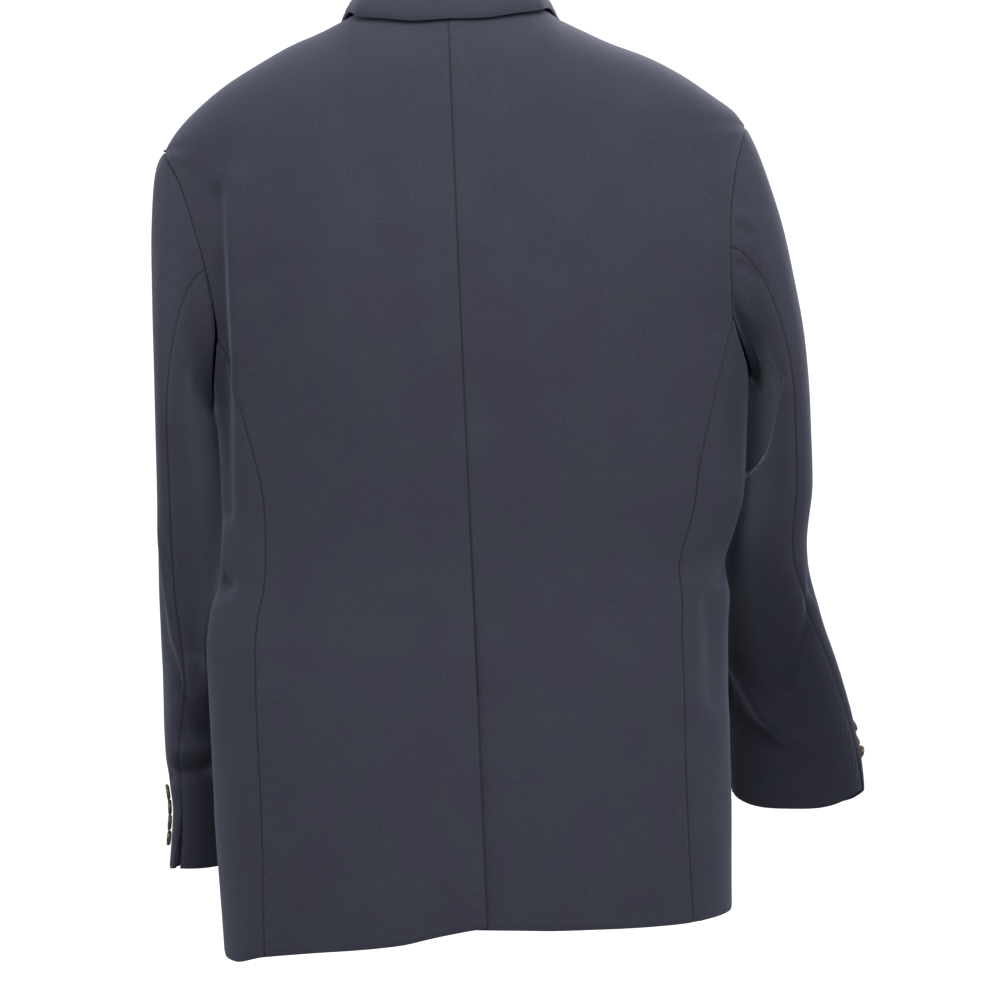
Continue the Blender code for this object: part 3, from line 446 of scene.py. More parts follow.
@dataclass
class TorsoForm:
    """The hollow form on which the back, the sides, the fronts, the lapels and the collar lie."""

    section_power: float = 2.5
    shoulder_tip_z: float = -0.108
    shoulder_round: float = 0.090
    neck_half_width: float = 0.078
    nape_z: float = -0.008
    armhole_z: float = -0.219
    armhole_half_height: float = 0.111
    armhole_reach: dict[Half, float] = field(default_factory=lambda: {Half.BACK: 0.078, Half.FRONT: 0.072})
    side_seam_top_z: float = -0.281
    vent_top_z: float = -0.587
    vent_step: float = 0.006
    level_rows: tuple[int, ...] = (0, 8, 17, 18, 19, 26)
    column_gap: float = 0.0001
    ridge_blend: float = 0.04
    least_round: float = 0.15
    side_width: float = 0.19
    low_z: float = -0.80
    ridge: Table = Table(("x", "left", "right"), (
        (0.000, 0.0280, 0.0280),
        (0.046, 0.0190, 0.0185),
        (0.078, 0.0075, 0.0060),
        (0.092, 0.0005, -0.0050),
        (0.115, -0.0105, -0.0175),
        (0.140, -0.0205, -0.0305),
        (0.172, -0.0370, -0.0440),
        (0.202, -0.0545, -0.0610),
        (0.230, -0.0765, -0.0815),
        (0.246, -0.0930, -0.0940),
        (0.257, -0.1080, -0.1080),
    ))
    sections: Table = Table(("z", "left", "right", "back", "front"), (
        (-0.830, 0.234, 0.214, 0.125, 0.122),
        (-0.750, 0.2365, 0.217, 0.122, 0.120),
        (-0.680, 0.237, 0.2185, 0.118, 0.117),
        (-0.600, 0.2385, 0.221, 0.113, 0.114),
        (-0.550, 0.239, 0.223, 0.110, 0.113),
        (-0.520, 0.235, 0.2255, 0.108, 0.113),
        (-0.495, 0.227, 0.223, 0.108, 0.114),
        (-0.465, 0.223, 0.233, 0.109, 0.117),
        (-0.430, 0.221, 0.243, 0.112, 0.121),
        (-0.350, 0.221, 0.249, 0.120, 0.128),
        (-0.281, 0.2325, 0.254, 0.126, 0.130),
        (-0.250, 0.243, 0.263, 0.127, 0.128),
        (-0.216, 0.2515, 0.268, 0.127, 0.124),
        (-0.178, 0.2565, 0.266, 0.125, 0.117),
        (-0.140, 0.255, 0.260, 0.122, 0.109),
        (-0.108, 0.257, 0.257, 0.118, 0.103),
        (-0.050, 0.257, 0.257, 0.108, 0.094),
        (-0.008, 0.257, 0.257, 0.098, 0.088),
        (0.030, 0.257, 0.257, 0.090, 0.085),
    ))
    side_seams: Table = Table(("z", "back", "front"), (
        (-0.830, 0.820, 0.900),
        (-0.716, 0.800, 0.900),
        (-0.580, 0.795, 0.905),
        (-0.526, 0.790, 0.910),
        (-0.424, 0.800, 0.920),
        (-0.357, 0.850, 0.930),
        (-0.309, 0.895, 0.937),
        (-0.281, 0.91963, 0.94026),
    ))
    hem: Table = Table(("degrees", "left", "right"), (
        (0, -0.787, -0.787),
        (7, -0.793, -0.790),
        (14, -0.799, -0.792),
        (36, -0.805, -0.795),
        (51, -0.810, -0.796),
        (68, -0.818, -0.796),
        (90, -0.818, -0.797),
        (125, -0.808, -0.798),
        (180, -0.804, -0.804),
    ))
    folds: FoldTable = FoldTable((
        (0.056, -0.135, 0.019, -0.350, 0.022, -0.0032),
        (-0.204, -0.160, -0.207, -0.300, 0.0090, -0.0052),
        (-0.207, -0.300, -0.213, -0.430, 0.0090, -0.0052),
        (-0.186, -0.150, -0.198, -0.470, 0.012, 0.0025),
        (-0.160, -0.230, -0.168, -0.560, 0.016, -0.0022),
        (-0.120, -0.080, -0.105, -0.330, 0.030, 0.0020),
        (-0.229, -0.483, -0.216, -0.491, 0.009, -0.0075),
        (0.228, -0.498, 0.203, -0.522, 0.008, -0.0055),
        (0.207, -0.528, 0.208, -0.606, 0.0125, -0.0070),
        (0.110, -0.380, 0.140, -0.620, 0.030, 0.0018),
        (0.055, -0.600, 0.050, -0.770, 0.022, 0.0016),
        (-0.100, -0.600, -0.110, -0.780, 0.025, 0.0018),
    ))

    @property
    def armhole_low(self) -> float:
        """Angle round the armhole at which it meets the side panel's back edge."""
        return math.asin((self.side_seam_top_z - self.armhole_z) / self.armhole_half_height)

    @property
    def rows(self) -> int:
        """Number of rows in which the panels' heights are counted."""
        return self.level_rows[-1]

    def half_width(self, side: Array | float, z: Array) -> Array:
        """Half-width of the torso at a height, on the side of the given sign."""
        return np.where(np.asarray(side) < 0, self.sections.at("left", z), self.sections.at("right", z))

    def reach_at(self, z: Array, depth: float) -> Array:
        """Distance of the armhole's edge from the plane of the side seams."""
        height = np.clip((z - self.armhole_z) / self.armhole_half_height, -1, 1)
        return depth * np.sqrt(1 - height**2)

    def edge_angle(self, z: Array, half: Half) -> Array:
        """Angle from the centre back, or front, to the armhole and then to the side panel's seam.

        Args:
            z: height.
            half: behind or in front of the ridge.

        Returns:
            One angle for each height.
        """
        reach = self.reach_at(z, self.armhole_reach[half])
        depth = self.sections.at(half.value, z)
        armhole = np.arccos(np.clip(reach / depth, 0, 1) ** (self.section_power / 2))
        seam = np.arcsin(self.side_seams.at(half.value, z) ** (self.section_power / 2))
        low = np.where(z < self.side_seam_top_z, seam, armhole)
        return np.where(z > self.shoulder_tip_z, math.pi / 2, low)

    def point(self, angle: Array, z: Array) -> Array:
        """A point below the armholes, the angle from 0 at the centre back to pi at the front.

        Args:
            angle: radians from the centre back.
            z: height.

        Returns:
            Points of the form without folds.
        """
        power = 2 / self.section_power
        back = np.cos(angle) >= 0
        depth = np.where(back, self.sections.at("back", z), self.sections.at("front", z))
        x = np.sign(angle) * self.half_width(angle, z) * np.abs(np.sin(angle)) ** power
        y = np.where(back, -1, 1) * depth * np.abs(np.cos(angle)) ** power
        return points_of(x, y, z)

    def ridge_z(self, x: Array) -> Array:
        """Height of the shoulders' ridge, blended at the centre where both sides meet.

        Args:
            x: distance from the centre, less than 0 on the left.

        Returns:
            One height for each place.
        """
        right = ease(0.5 + x / self.ridge_blend)
        left_z, right_z = self.ridge.at("left", np.abs(x)), self.ridge.at("right", np.abs(x))
        return left_z + (right_z - left_z) * right

    def rounding(self, share: Array) -> Array:
        """Radius with which a column rounds over the shoulder."""
        return self.shoulder_round * np.maximum(1 - share**2, self.least_round)

    def top_x(self, column: Array) -> Array:
        """Distance from the centre at which a column leaves the ridge.

        Args:
            column: column from the centre, -1 to 1.

        Returns:
            Distances, none below 0.
        """
        side = np.where(column < 0, -1.0, 1.0)
        width = self.half_width(side, 0 * column)
        return width * np.sin(np.abs(column) * math.pi / 2) ** (2 / self.section_power)

    def panel_point(self, column: Array, down: Array, half: Half) -> Array:
        """A point of the back or front, on a column from the ridge: -1 to 1, and metres down.

        Args:
            column: column from the centre, -1 to 1.
            down: metres down the column from the ridge.
            half: behind or in front of the ridge.

        Returns:
            Points of the form without folds.
        """
        side = np.where(column < 0, -1.0, 1.0)
        power = 2 / self.section_power
        share = np.abs(column)
        rounding = self.rounding(share)
        arc = rounding * math.pi / 2
        turn = np.clip(down / arc, -1, 1) * math.pi / 2
        top_z = self.ridge_z(side * self.top_x(column))
        z = top_z - rounding * (1 - np.cos(turn)) - np.maximum(down - arc, 0)
        angle = share * self.edge_angle(z, half)
        width = self.half_width(side, z) * np.abs(np.sin(angle)) ** power
        depth = self.sections.at(half.value, z) * np.abs(np.cos(angle)) ** power
        return points_of(side * width, depth * np.sin(turn) * half.sign, z)

    def down_to(self, z: Array, column: Array, half: Half) -> Array:
        """How far down its column the point at height z lies.

        Args:
            z: height.
            column: column from the centre, -1 to 1.
            half: behind or in front of the ridge.

        Returns:
            Metres down the column.
        """
        side = np.where(column < 0, -1.0, 1.0)
        rounding = self.rounding(np.abs(column))
        drop = np.maximum(self.ridge_z(side * self.top_x(column)) - z, 0)
        inside = rounding * np.arccos(np.clip(1 - drop / rounding, 0, 1))
        return np.where(drop < rounding, inside, rounding * math.pi / 2 + drop - rounding)

    def height_on(self, column: Array, down: Array, half: Half) -> Array:
        """Height of a column's point."""
        return self.panel_point(column, down, half)[..., 2]

    def column_of(self, x: Array, z: Array, half: Half) -> Array:
        """The column that passes through (x, z)."""
        share = np.clip(np.abs(x) / self.half_width(x, z), 0, 1)
        return np.sign(x) * np.arcsin(share ** (self.section_power / 2)) / self.edge_angle(z, half)

    def panel_surface(self, column: Array, down: Array, half: Half) -> Laid:
        """Outer point and normal of the back or front.

        Args:
            column: column from the centre, -1 to 1.
            down: metres down the column from the ridge.
            half: behind or in front of the ridge.

        Returns:
            Outer points and unit normals.
        """
        points = self.panel_point(column, down, half)
        outwards = points_of(0 * column, 0 * column + half.sign, 0 * column + 0.3)
        normal = normals_of(lambda a, b: self.panel_point(a, b, half), column, down, 2e-3, 1e-4, outwards)
        fade = ease(-points[..., 1] / CLOTH.shoulder_fade) if half is Half.BACK else 0 * column
        return self.draped(points, normal, fade), normal

    def side_surface(self, angle: Array, z: Array) -> Laid:
        """Outer point and normal of a side panel.

        Args:
            angle: radians from the centre back.
            z: height.

        Returns:
            Outer points and unit normals.
        """
        points = self.point(angle, z)
        normal = normals_of(self.point, angle, z, 1e-3, 1e-4, points * [1, 1, 0])
        return self.draped(points, normal, ease(-points[..., 1] / CLOTH.shoulder_fade)), normal

    def draped(self, points: Array, normal: Array, fade: Array) -> Array:
        """Points moved out by the large folds."""
        return points + normal * (self.folds.lift(points[..., 0], points[..., 2]) * fade)[..., None]

    def hem_z(self, angle: Array) -> Array:
        """Height of the hem at an angle from the centre back."""
        degrees = np.degrees(np.abs(angle))
        return np.where(angle < 0, self.hem.at("left", degrees), self.hem.at("right", degrees))

    def on_panel(self, x: Array, z: Array, half: Half) -> Laid:
        """Outer point and normal of the back or front at (x, z)."""
        column = self.column_of(x, z, half)
        return self.panel_surface(column, self.down_to(z, column, half), half)

    def below_ridge(self, x: Array, down: Array, half: Half) -> Laid:
        """Outer point and normal at x, at a distance down from the ridge.

        Args:
            x: distance from the centre, less than 0 on the left.
            down: metres down the column from the ridge.
            half: behind or in front of the ridge.

        Returns:
            Outer points and unit normals.
        """
        column = self.column_of(x, self.ridge_z(x), half)
        for _ in range(4):
            column = self.column_of(x, self.height_on(column, down, half), half)
        return self.panel_surface(column, down, half)

    def on_shoulder(self, x: Array, reach: Array) -> Laid:
        """Outer point and normal at x, a signed distance in front of the ridge.

        Args:
            x: distance from the centre, less than 0 on the left.
            reach: metres in front of the ridge, less than 0 behind it.

        Returns:
            Outer points and unit normals.
        """
        back, back_normal = self.below_ridge(x, np.abs(reach), Half.BACK)
        front, front_normal = self.below_ridge(x, np.abs(reach), Half.FRONT)
        behind = (reach < 0)[..., None]
        return np.where(behind, back, front), np.where(behind, back_normal, front_normal)

    def neck_z(self, x: Array) -> Array:
        """Height of the back's neck seam."""
        neck = np.clip(np.abs(x) / self.neck_half_width, 0, 1)
        return self.nape_z + (self.ridge_z(np.sign(x) * self.neck_half_width) - self.nape_z) * neck**2

    def armhole_angle(self, share: Array) -> Array:
        """Angle round the armhole of a share of the rows from the shoulder to the side panel."""
        return math.pi / 2 + (self.armhole_low - math.pi / 2) * share

    def panel_rows(
        self, row: Array, column: Array, start: Array | float, end: Array | float, half: Half
    ) -> Array:
        """Distance down a column for each row, level at the side panel's top and where the vent opens.

        Args:
            row: row, from 0 at the ridge.
            column: column from the centre, -1 to 1.
            start: metres down at row 0.
            end: metres down at the last row.
            half: behind or in front of the ridge.

        Returns:
            Metres down for each row.
        """
        armhole = self.down_to(0 * row + self.side_seam_top_z, column, half)
        vent = self.down_to(0 * row + self.vent_top_z, column, half)
        level = [start, armhole, vent, vent + self.vent_step, vent + 2 * self.vent_step, end]
        down = start + 0 * row
        for i in range(5):
            first, last = self.level_rows[i], self.level_rows[i + 1]
            share = np.clip((row - first) / (last - first), 0, 1)
            if i == 0:
                round_it = (1 - np.sin(self.armhole_angle(share))) / (1 - math.sin(self.armhole_low))
                share = share + (round_it - share) * np.abs(column) ** 4
            down = np.where(row >= first, level[i] + (level[i + 1] - level[i]) * share, down)
        return down

    def side_angle(self, z: Array, share: Array) -> Array:
        """Angle of a side panel's point: share 0 at its back seam, 1 at its front seam.

        Args:
            z: height.
            share: share of the way across.

        Returns:
            Angles, all above 0.
        """
        low = np.minimum(z, self.side_seam_top_z - 1e-6)
        start, end = self.edge_angle(low, Half.BACK), math.pi - self.edge_angle(low, Half.FRONT)
        gap = CLOTH.seam_gap / self.side_width
        return start + gap + (end - start - 2 * gap) * share

    def side_top(self, side: Side, share: Array) -> Array:
        """Height of the side panel's top edge, the low part of the armhole.

        Args:
            side: the wearer's left or right.
            share: share of the way across.

        Returns:
            One height for each share.
        """
        top = 0 * share + self.side_seam_top_z
        for _ in range(8):
            angle = self.side_angle(top, share)
            reach = np.abs(self.point(side.value * angle, top)[..., 1])
            back, front = self.armhole_reach[Half.BACK], self.armhole_reach[Half.FRONT]
            loop = np.where(angle < math.pi / 2, back, front)
            top = self.armhole_z - self.armhole_half_height * np.sqrt(1 - np.clip(reach / loop, 0, 1) ** 2)
            top = np.minimum(top, self.side_seam_top_z)
        return top

    def shoulder_seam(self, points: Array, normal: Array, half: Half, top: Array) -> Laid:
        """Keeps a back or front clear of the shoulder seam and its top edge upright.

        Args:
            points: outer points of the cloth.
            normal: unit normals of the points.
            half: behind or in front of the ridge.
            top: whether a point is on the top edge.

        Returns:
            The moved points and the normals.
        """
        away = half.sign * CLOTH.seam_gap / 2
        beyond = np.minimum(points[..., 1], away) if half is Half.BACK else np.maximum(points[..., 1], away)
        outside_neck = np.abs(points[..., 0]) > self.neck_half_width - 0.001
        points[..., 1] = np.where(outside_neck, beyond, points[..., 1])
        upright = unit(normal * [1, 0, 1])
        return points, np.where((top & outside_neck)[..., None], upright, normal)


def normals_of(
    surface: Callable[[Array, Array], Array],
    a: Array,
    b: Array,
    step_a: float,
    step_b: float,
    outwards: Array,
) -> Array:
    """Unit normals of surface(a, b), turned to the side that `outwards` gives.

    Args:
        surface: gives the points at a and b.
        a: first parameter.
        b: second parameter.
        step_a: step along a.
        step_b: step along b.
        outwards: rough outward directions.

    Returns:
        Unit normals.
    """
    along_a = surface(a + step_a, b) - surface(a - step_a, b)
    along_b = surface(a, b + step_b) - surface(a, b - step_b)
    normal = unit(np.cross(along_a, along_b))
    facing = np.sum(normal * outwards, -1, keepdims=True)
    return np.where(facing < 0, -normal, normal)


@dataclass
class Back:
    """Both halves of the back, with the centre seam and the vent, left flap over right."""

    torso: TorsoForm
    cells: tuple[int, int] = (56, 196)
    neck_u: float = 3 / 13
    underlap: float = 0.038
    vent_depth: float = 0.0040
    vent_row: int = 17
    vent_near: float = 0.024
    vent_fade: float = 0.036
    lap_fade: float = 0.10
    creases: FoldTable = FoldTable((
        (-0.038, -0.742, -0.020, -0.760, 0.0030, 0.0010),
        (-0.191, -0.110, -0.195, -0.296, 0.0042, 0.0022),
        (-0.195, -0.296, -0.203, -0.420, 0.0042, 0.0024),
        (-0.203, -0.420, -0.211, -0.487, 0.0042, 0.0020),
        (-0.203, -0.180, -0.205, -0.300, 0.0060, -0.0030),
        (-0.205, -0.300, -0.212, -0.420, 0.0060, -0.0030),
        (0.070, -0.090, 0.030, -0.290, 0.0080, -0.0011),
        (0.030, -0.060, 0.046, -0.190, 0.0110, 0.0009),
        (0.180, -0.120, 0.196, -0.300, 0.0120, -0.0010),
        (0.150, -0.140, 0.170, -0.330, 0.0160, 0.0008),
        (-0.060, -0.180, -0.048, -0.380, 0.0180, -0.0009),
        (0.016, -0.410, 0.030, -0.560, 0.0160, 0.0008),
        (0.090, -0.520, 0.075, -0.760, 0.0170, -0.0009),
        (-0.060, -0.520, -0.080, -0.790, 0.0200, -0.0009),
        (-0.150, -0.560, -0.160, -0.790, 0.0150, 0.0010),
        (0.150, -0.600, 0.160, -0.780, 0.0150, 0.0008),
    ), ends=0.35)

    def column(self, u: Array) -> Array:
        """Columns even across the neck, then even round the shoulder.

        Args:
            u: share across the piece.

        Returns:
            Columns from 0 to 1.
        """
        width = self.torso.half_width(1.0, np.array(0.0))
        neck_x = self.torso.neck_half_width * np.clip(u / self.neck_u, 0, 1)
        neck = np.arcsin((neck_x / width) ** (self.torso.section_power / 2)) * 2 / math.pi
        rest = np.clip((u - self.neck_u) / (1 - self.neck_u), 0, 1)
        return neck + (1 - neck) * rest * (1.1 - 0.1 * rest)

    def half(self, side: Side) -> CutPiece:
        """One half, from the centre seam to the armhole and the side panel.

        Args:
            side: the wearer's left or right.

        Returns:
            The piece, not yet made.
        """
        torso = self.torso
        sign = side.value

        def surface(u: Array, v: Array) -> Laid:
            """Outer point and normal of the half.

            Args:
                u: share across the piece.
                v: share down the piece.

            Returns:
                Outer points and unit normals.
            """
            column = sign * (1 - torso.column_gap) * self.column(u)
            top_x = torso.top_x(column)
            in_neck = top_x < torso.neck_half_width
            top_z = np.where(in_neck, torso.neck_z(sign * top_x), torso.ridge_z(sign * top_x))
            start = np.maximum(torso.down_to(top_z, column, Half.BACK), CLOTH.seam_gap / 2)
            low_angle = np.abs(column) * torso.edge_angle(0 * u + torso.low_z, Half.BACK)
            end = torso.down_to(torso.hem_z(sign * low_angle), column, Half.BACK)
            row = v * torso.rows
            down = torso.panel_rows(row, column, start, end, Half.BACK)
            z = torso.height_on(column, down, Half.BACK)
            below, lap = 0 * u, 0 * u
            if side is Side.RIGHT:
                below = ease((row - self.vent_row + 5) / 6)
                x = torso.panel_point(column, down, Half.BACK)[..., 0]
                lap = np.clip(row - self.vent_row - 1, 0, 1) * self.underlap * (1 - ease(x / self.lap_fade))
                column = np.where(lap > 0, torso.column_of(x - lap - 1e-7, z, Half.BACK), column)
                down = np.where(lap > 0, torso.down_to(z, column, Half.BACK), down)
            points, normal = torso.panel_surface(column, down, Half.BACK)
            at_centre = (u == 0) & (lap <= 0)
            points[..., 0] = np.where(at_centre, sign * CLOTH.seam_gap / 2, points[..., 0])
            near = 1 - ease((points[..., 0] - self.vent_near) / self.vent_fade)
            points = points - normal * (self.vent_depth * below * near)[..., None]
            return torso.shoulder_seam(points, normal, Half.BACK, v == 0)

        def relief(points: Array, normal: Array) -> Array:
            """Creases of the back."""
            fade = ease(-points[..., 1] / CLOTH.shoulder_fade)
            return self.creases.lift(points[..., 0], points[..., 2]) * fade

        name = side.name_of("back")
        return CutPiece(name, surface, self.cells, relief, seed=2.0 + sign)


@dataclass
class SidePanels:
    """The panels under the armholes, between the back and the fronts."""

    torso: TorsoForm
    cells: tuple[int, int] = (30, 150)
    creases: FoldTable = FoldTable((
        (-0.030, -0.330, -0.010, -0.520, 0.014, -0.0012),
        (0.030, -0.350, 0.020, -0.560, 0.016, 0.0010),
        (-0.040, -0.560, -0.020, -0.760, 0.016, 0.0012),
        (0.020, -0.600, 0.035, -0.780, 0.018, -0.0012),
    ), ends=0.35)

    def panel(self, side: Side) -> CutPiece:
        """One side panel, from the armhole to the hem.

        Args:
            side: the wearer's left or right.

        Returns:
            The piece, not yet made.
        """
        torso = self.torso

        def surface(u: Array, v: Array) -> Laid:
            """Outer point and normal of the panel.

            Args:
                u: share across the piece.
                v: share down the piece.

            Returns:
                Outer points and unit normals.
            """
            top = torso.side_top(side, u)
            low = torso.hem_z(side.value * torso.side_angle(0 * u + torso.low_z, u))
            first = torso.level_rows[1]
            row = first + v * (torso.rows - first)
            vent = torso.vent_top_z
            level = [torso.side_seam_top_z, vent, vent - torso.vent_step, vent - 2 * torso.vent_step, low]
            z = 0 * u
            for i in range(4):
                start, end = torso.level_rows[i + 1], torso.level_rows[i + 2]
                share = np.clip((row - start) / (end - start), 0, 1)
                z = np.where(row >= start, level[i] + (level[i + 1] - level[i]) * share, z)
            z = z + (top - torso.side_seam_top_z) * np.clip(1 - (row - first) / 8, 0, 1)
            return torso.side_surface(side.value * torso.side_angle(z, u), z)

        def relief(points: Array, normal: Array) -> Array:
            """Creases of the panel."""
            return self.creases.lift(points[..., 1], points[..., 2])

        name = side.name_of("side")
        return CutPiece(name, surface, self.cells, relief, seed=5.0 + side.value)


@dataclass
class Fronts:
    """Both fronts with their turned-out lapels, left lapping over right."""

    torso: TorsoForm
    cells: tuple[int, int] = (56, 196)
    lapel_cells: tuple[int, int] = (44, 84)
    break_z: float = -0.425
    overlap: float = 0.022
    depth: float = 0.0070
    cutaway_z: float = -0.712
    cutaway: float = 0.085
    lapel_clear: float = 0.0006
    roll_gap: float = 0.0003
    roll_share: float = 0.16
    roll_bow: float = 0.06
    corner_reach: float = 0.7071
    corner_rest: float = 0.2929
    corner_width: float = 0.2
    lap_fade: float = 0.142
    crowding: float = 0.25
    rounds: int = 12
    low_z: float = -0.795
    bloom: float = 0.0035
    bloom_way: float = 0.011
    bloom_z: float = 0.30
    bloom_fade: float = 0.10
    lapel_table: Table = Table(("way", "roll_z", "edge_z", "width"), (
        (0.00, -0.075, -0.112, 0.088),
        (0.08, -0.100, -0.134, 0.087),
        (0.30, -0.175, -0.196, 0.078),
        (0.60, -0.280, -0.291, 0.052),
        (0.85, -0.368, -0.372, 0.020),
        (1.00, -0.420, -0.421, 0.003),
    ))
    creases: FoldTable = FoldTable((
        (0.020, -0.440, 0.130, -0.395, 0.012, 0.0012),
        (0.025, -0.455, 0.150, -0.470, 0.013, -0.0012),
        (-0.020, -0.440, -0.125, -0.400, 0.012, 0.0012),
        (-0.030, -0.452, -0.150, -0.475, 0.014, -0.0011),
        (0.205, -0.160, 0.180, -0.330, 0.014, -0.0022),
        (-0.205, -0.160, -0.178, -0.340, 0.013, -0.0020),
        (0.165, -0.150, 0.150, -0.300, 0.020, 0.0014),
        (-0.165, -0.150, -0.148, -0.310, 0.018, 0.0013),
        (0.090, -0.540, 0.110, -0.780, 0.020, 0.0014),
        (-0.085, -0.550, -0.100, -0.780, 0.022, 0.0014),
        (0.140, -0.560, 0.150, -0.780, 0.018, -0.0013),
        (-0.140, -0.570, -0.155, -0.780, 0.018, -0.0013),
    ), ends=0.35)

    def edge_x(self, z: Array) -> Array:
        """How far a front reaches past the centre: roll line, straight edge, then the cutaway.

        Args:
            z: height.

        Returns:
            Metres past the centre.
        """
        neck = self.torso.neck_half_width
        roll = np.clip(z / self.break_z, 0, 1)
        inner = -neck + (neck + self.overlap) * (roll - self.roll_bow * np.sin(math.pi * roll))
        corner = np.clip((self.cutaway_z - z) / self.cutaway, 0, self.corner_reach)
        return inner - self.cutaway * (1 - np.sqrt(1 - corner**2))

    def cutaway_rise(self, share: Array) -> Array:
        """How far the hem rises at the rounded corner.

        Args:
            share: share of the way from the front edge.

        Returns:
            Metres upwards.
        """
        way = 1 - self.corner_rest - share * self.corner_width / self.cutaway
        from_edge = np.clip(way, 0, self.corner_reach)
        return self.cutaway * (1 - np.sqrt(1 - from_edge**2))

    def column(self, side: Side, share: Array, z: Array) -> Array:
        """Column of a point: its share of the way from the front edge to the armhole or side seam."""
        inner = side.value * self.torso.column_of(-side.value * self.edge_x(z), z, Half.FRONT)
        return side.value * (inner + (1 - self.torso.column_gap - inner) * share)

    def lapped(self, side: Side, points: Array, normal: Array) -> Array:
        """The right front passes inside the left one where they lap.

        Args:
            side: the wearer's left or right.
            points: outer points of the cloth.
            normal: unit normals of the points.

        Returns:
            The points, moved inwards on the right front.
        """
        if side is Side.LEFT:
            return points
        near = np.clip(1 - (points[..., 0] + self.overlap) / self.lap_fade, 0, 1)
        return points - normal * (self.depth * near)[..., None]

    def relief(self, points: Array, normal: Array) -> Array:
        """Creases of a front, away from the shoulder."""
        fade = ease(points[..., 1] / CLOTH.shoulder_fade)
        return self.creases.lift(points[..., 0], points[..., 2]) * fade

    def front(self, side: Side) -> CutPiece:
        """One front, from the shoulder to the hem, as far as its roll line and its buttoning edge.

        Args:
            side: the wearer's left or right.

        Returns:
            The piece, not yet made.
        """
        torso = self.torso

        def surface(u: Array, v: Array) -> Laid:
            """Outer point and normal of the front.

            Args:
                u: share across the piece.
                v: share down the piece.

            Returns:
                Outer points and unit normals.
            """
            share = u * (1 + self.crowding - self.crowding * u)
            column = side.value * share
            for _ in range(self.rounds):
                column = self.column(side, share, torso.height_on(column, 0 * u, Half.FRONT))
            low_column = self.column(side, share, 0 * u + self.low_z)
            low_angle = math.pi - np.abs(low_column) * torso.edge_angle(0 * u + torso.low_z, Half.FRONT)
            low_z = torso.hem_z(side.value * low_angle) + self.cutaway_rise(share)
            end = torso.down_to(low_z, low_column, Half.FRONT)
            row = v * torso.rows
            for _ in range(self.rounds):
                down = torso.panel_rows(row, column, CLOTH.seam_gap / 2, end, Half.FRONT)
                column = self.column(side, share, torso.height_on(column, down, Half.FRONT))
            points, normal = torso.panel_surface(column, down, Half.FRONT)
            return torso.shoulder_seam(self.lapped(side, points, normal), normal, Half.FRONT, v == 0)

        name = side.name_of("front")
        sewn = (False, True, True, False)
        seed = 8.0 + side.value
        return CutPiece(name, surface, self.cells, self.relief, sewn=sewn, seed=seed)

    def lapel(self, side: Side) -> CutPiece:
        """The turned-out part of a front: rolled over at the front's edge, then lying clear of it.

        Args:
            side: the wearer's left or right.

        Returns:
            The piece, not yet made.
        """
        torso = self.torso
        radius = CLOTH.thick + self.lapel_clear / 2

        def surface(u: Array, v: Array) -> Laid:
            """Outer point and normal of the lapel.

            Args:
                u: share across the piece.
                v: share down the piece.

            Returns:
                Outer points and unit normals.
            """
            table = self.lapel_table
            z_roll, z_edge, width = (table.at(name, v) for name in ("roll_z", "edge_z", "width"))
            flat = np.clip((u - self.roll_share) / (1 - self.roll_share), 0, 1)
            z = z_roll + (z_edge - z_roll) * flat
            x = side.value * (-self.edge_x(z_roll) - self.roll_gap + width * flat)
            points, normal = torso.on_panel(x, z, Half.FRONT)
            points = self.lapped(side, points, normal)
            near = np.exp(-((width * flat / self.bloom_way) ** 2))
            bloom = self.bloom * near * ease((z_roll + self.bloom_z) / self.bloom_fade)
            turn = math.pi * (1 - np.clip(u / self.roll_share, 0, 1))
            inwards = unit(np.cross(points_of(0 * x, 0 * x, 0 * x - side.value), normal))
            tall = radius + bloom / 2
            middle = points + normal * (CLOTH.thick + self.lapel_clear + bloom - tall)[..., None]
            out = normal * np.cos(turn)[..., None] - inwards * np.sin(turn)[..., None]
            return middle + out * tall[..., None], out

        name = side.name_of("lapel")
        free = (False, False, False, False)
        return CutPiece(name, surface, self.lapel_cells, crowded=0.5, sewn=free, seed=11.0 + side.value)


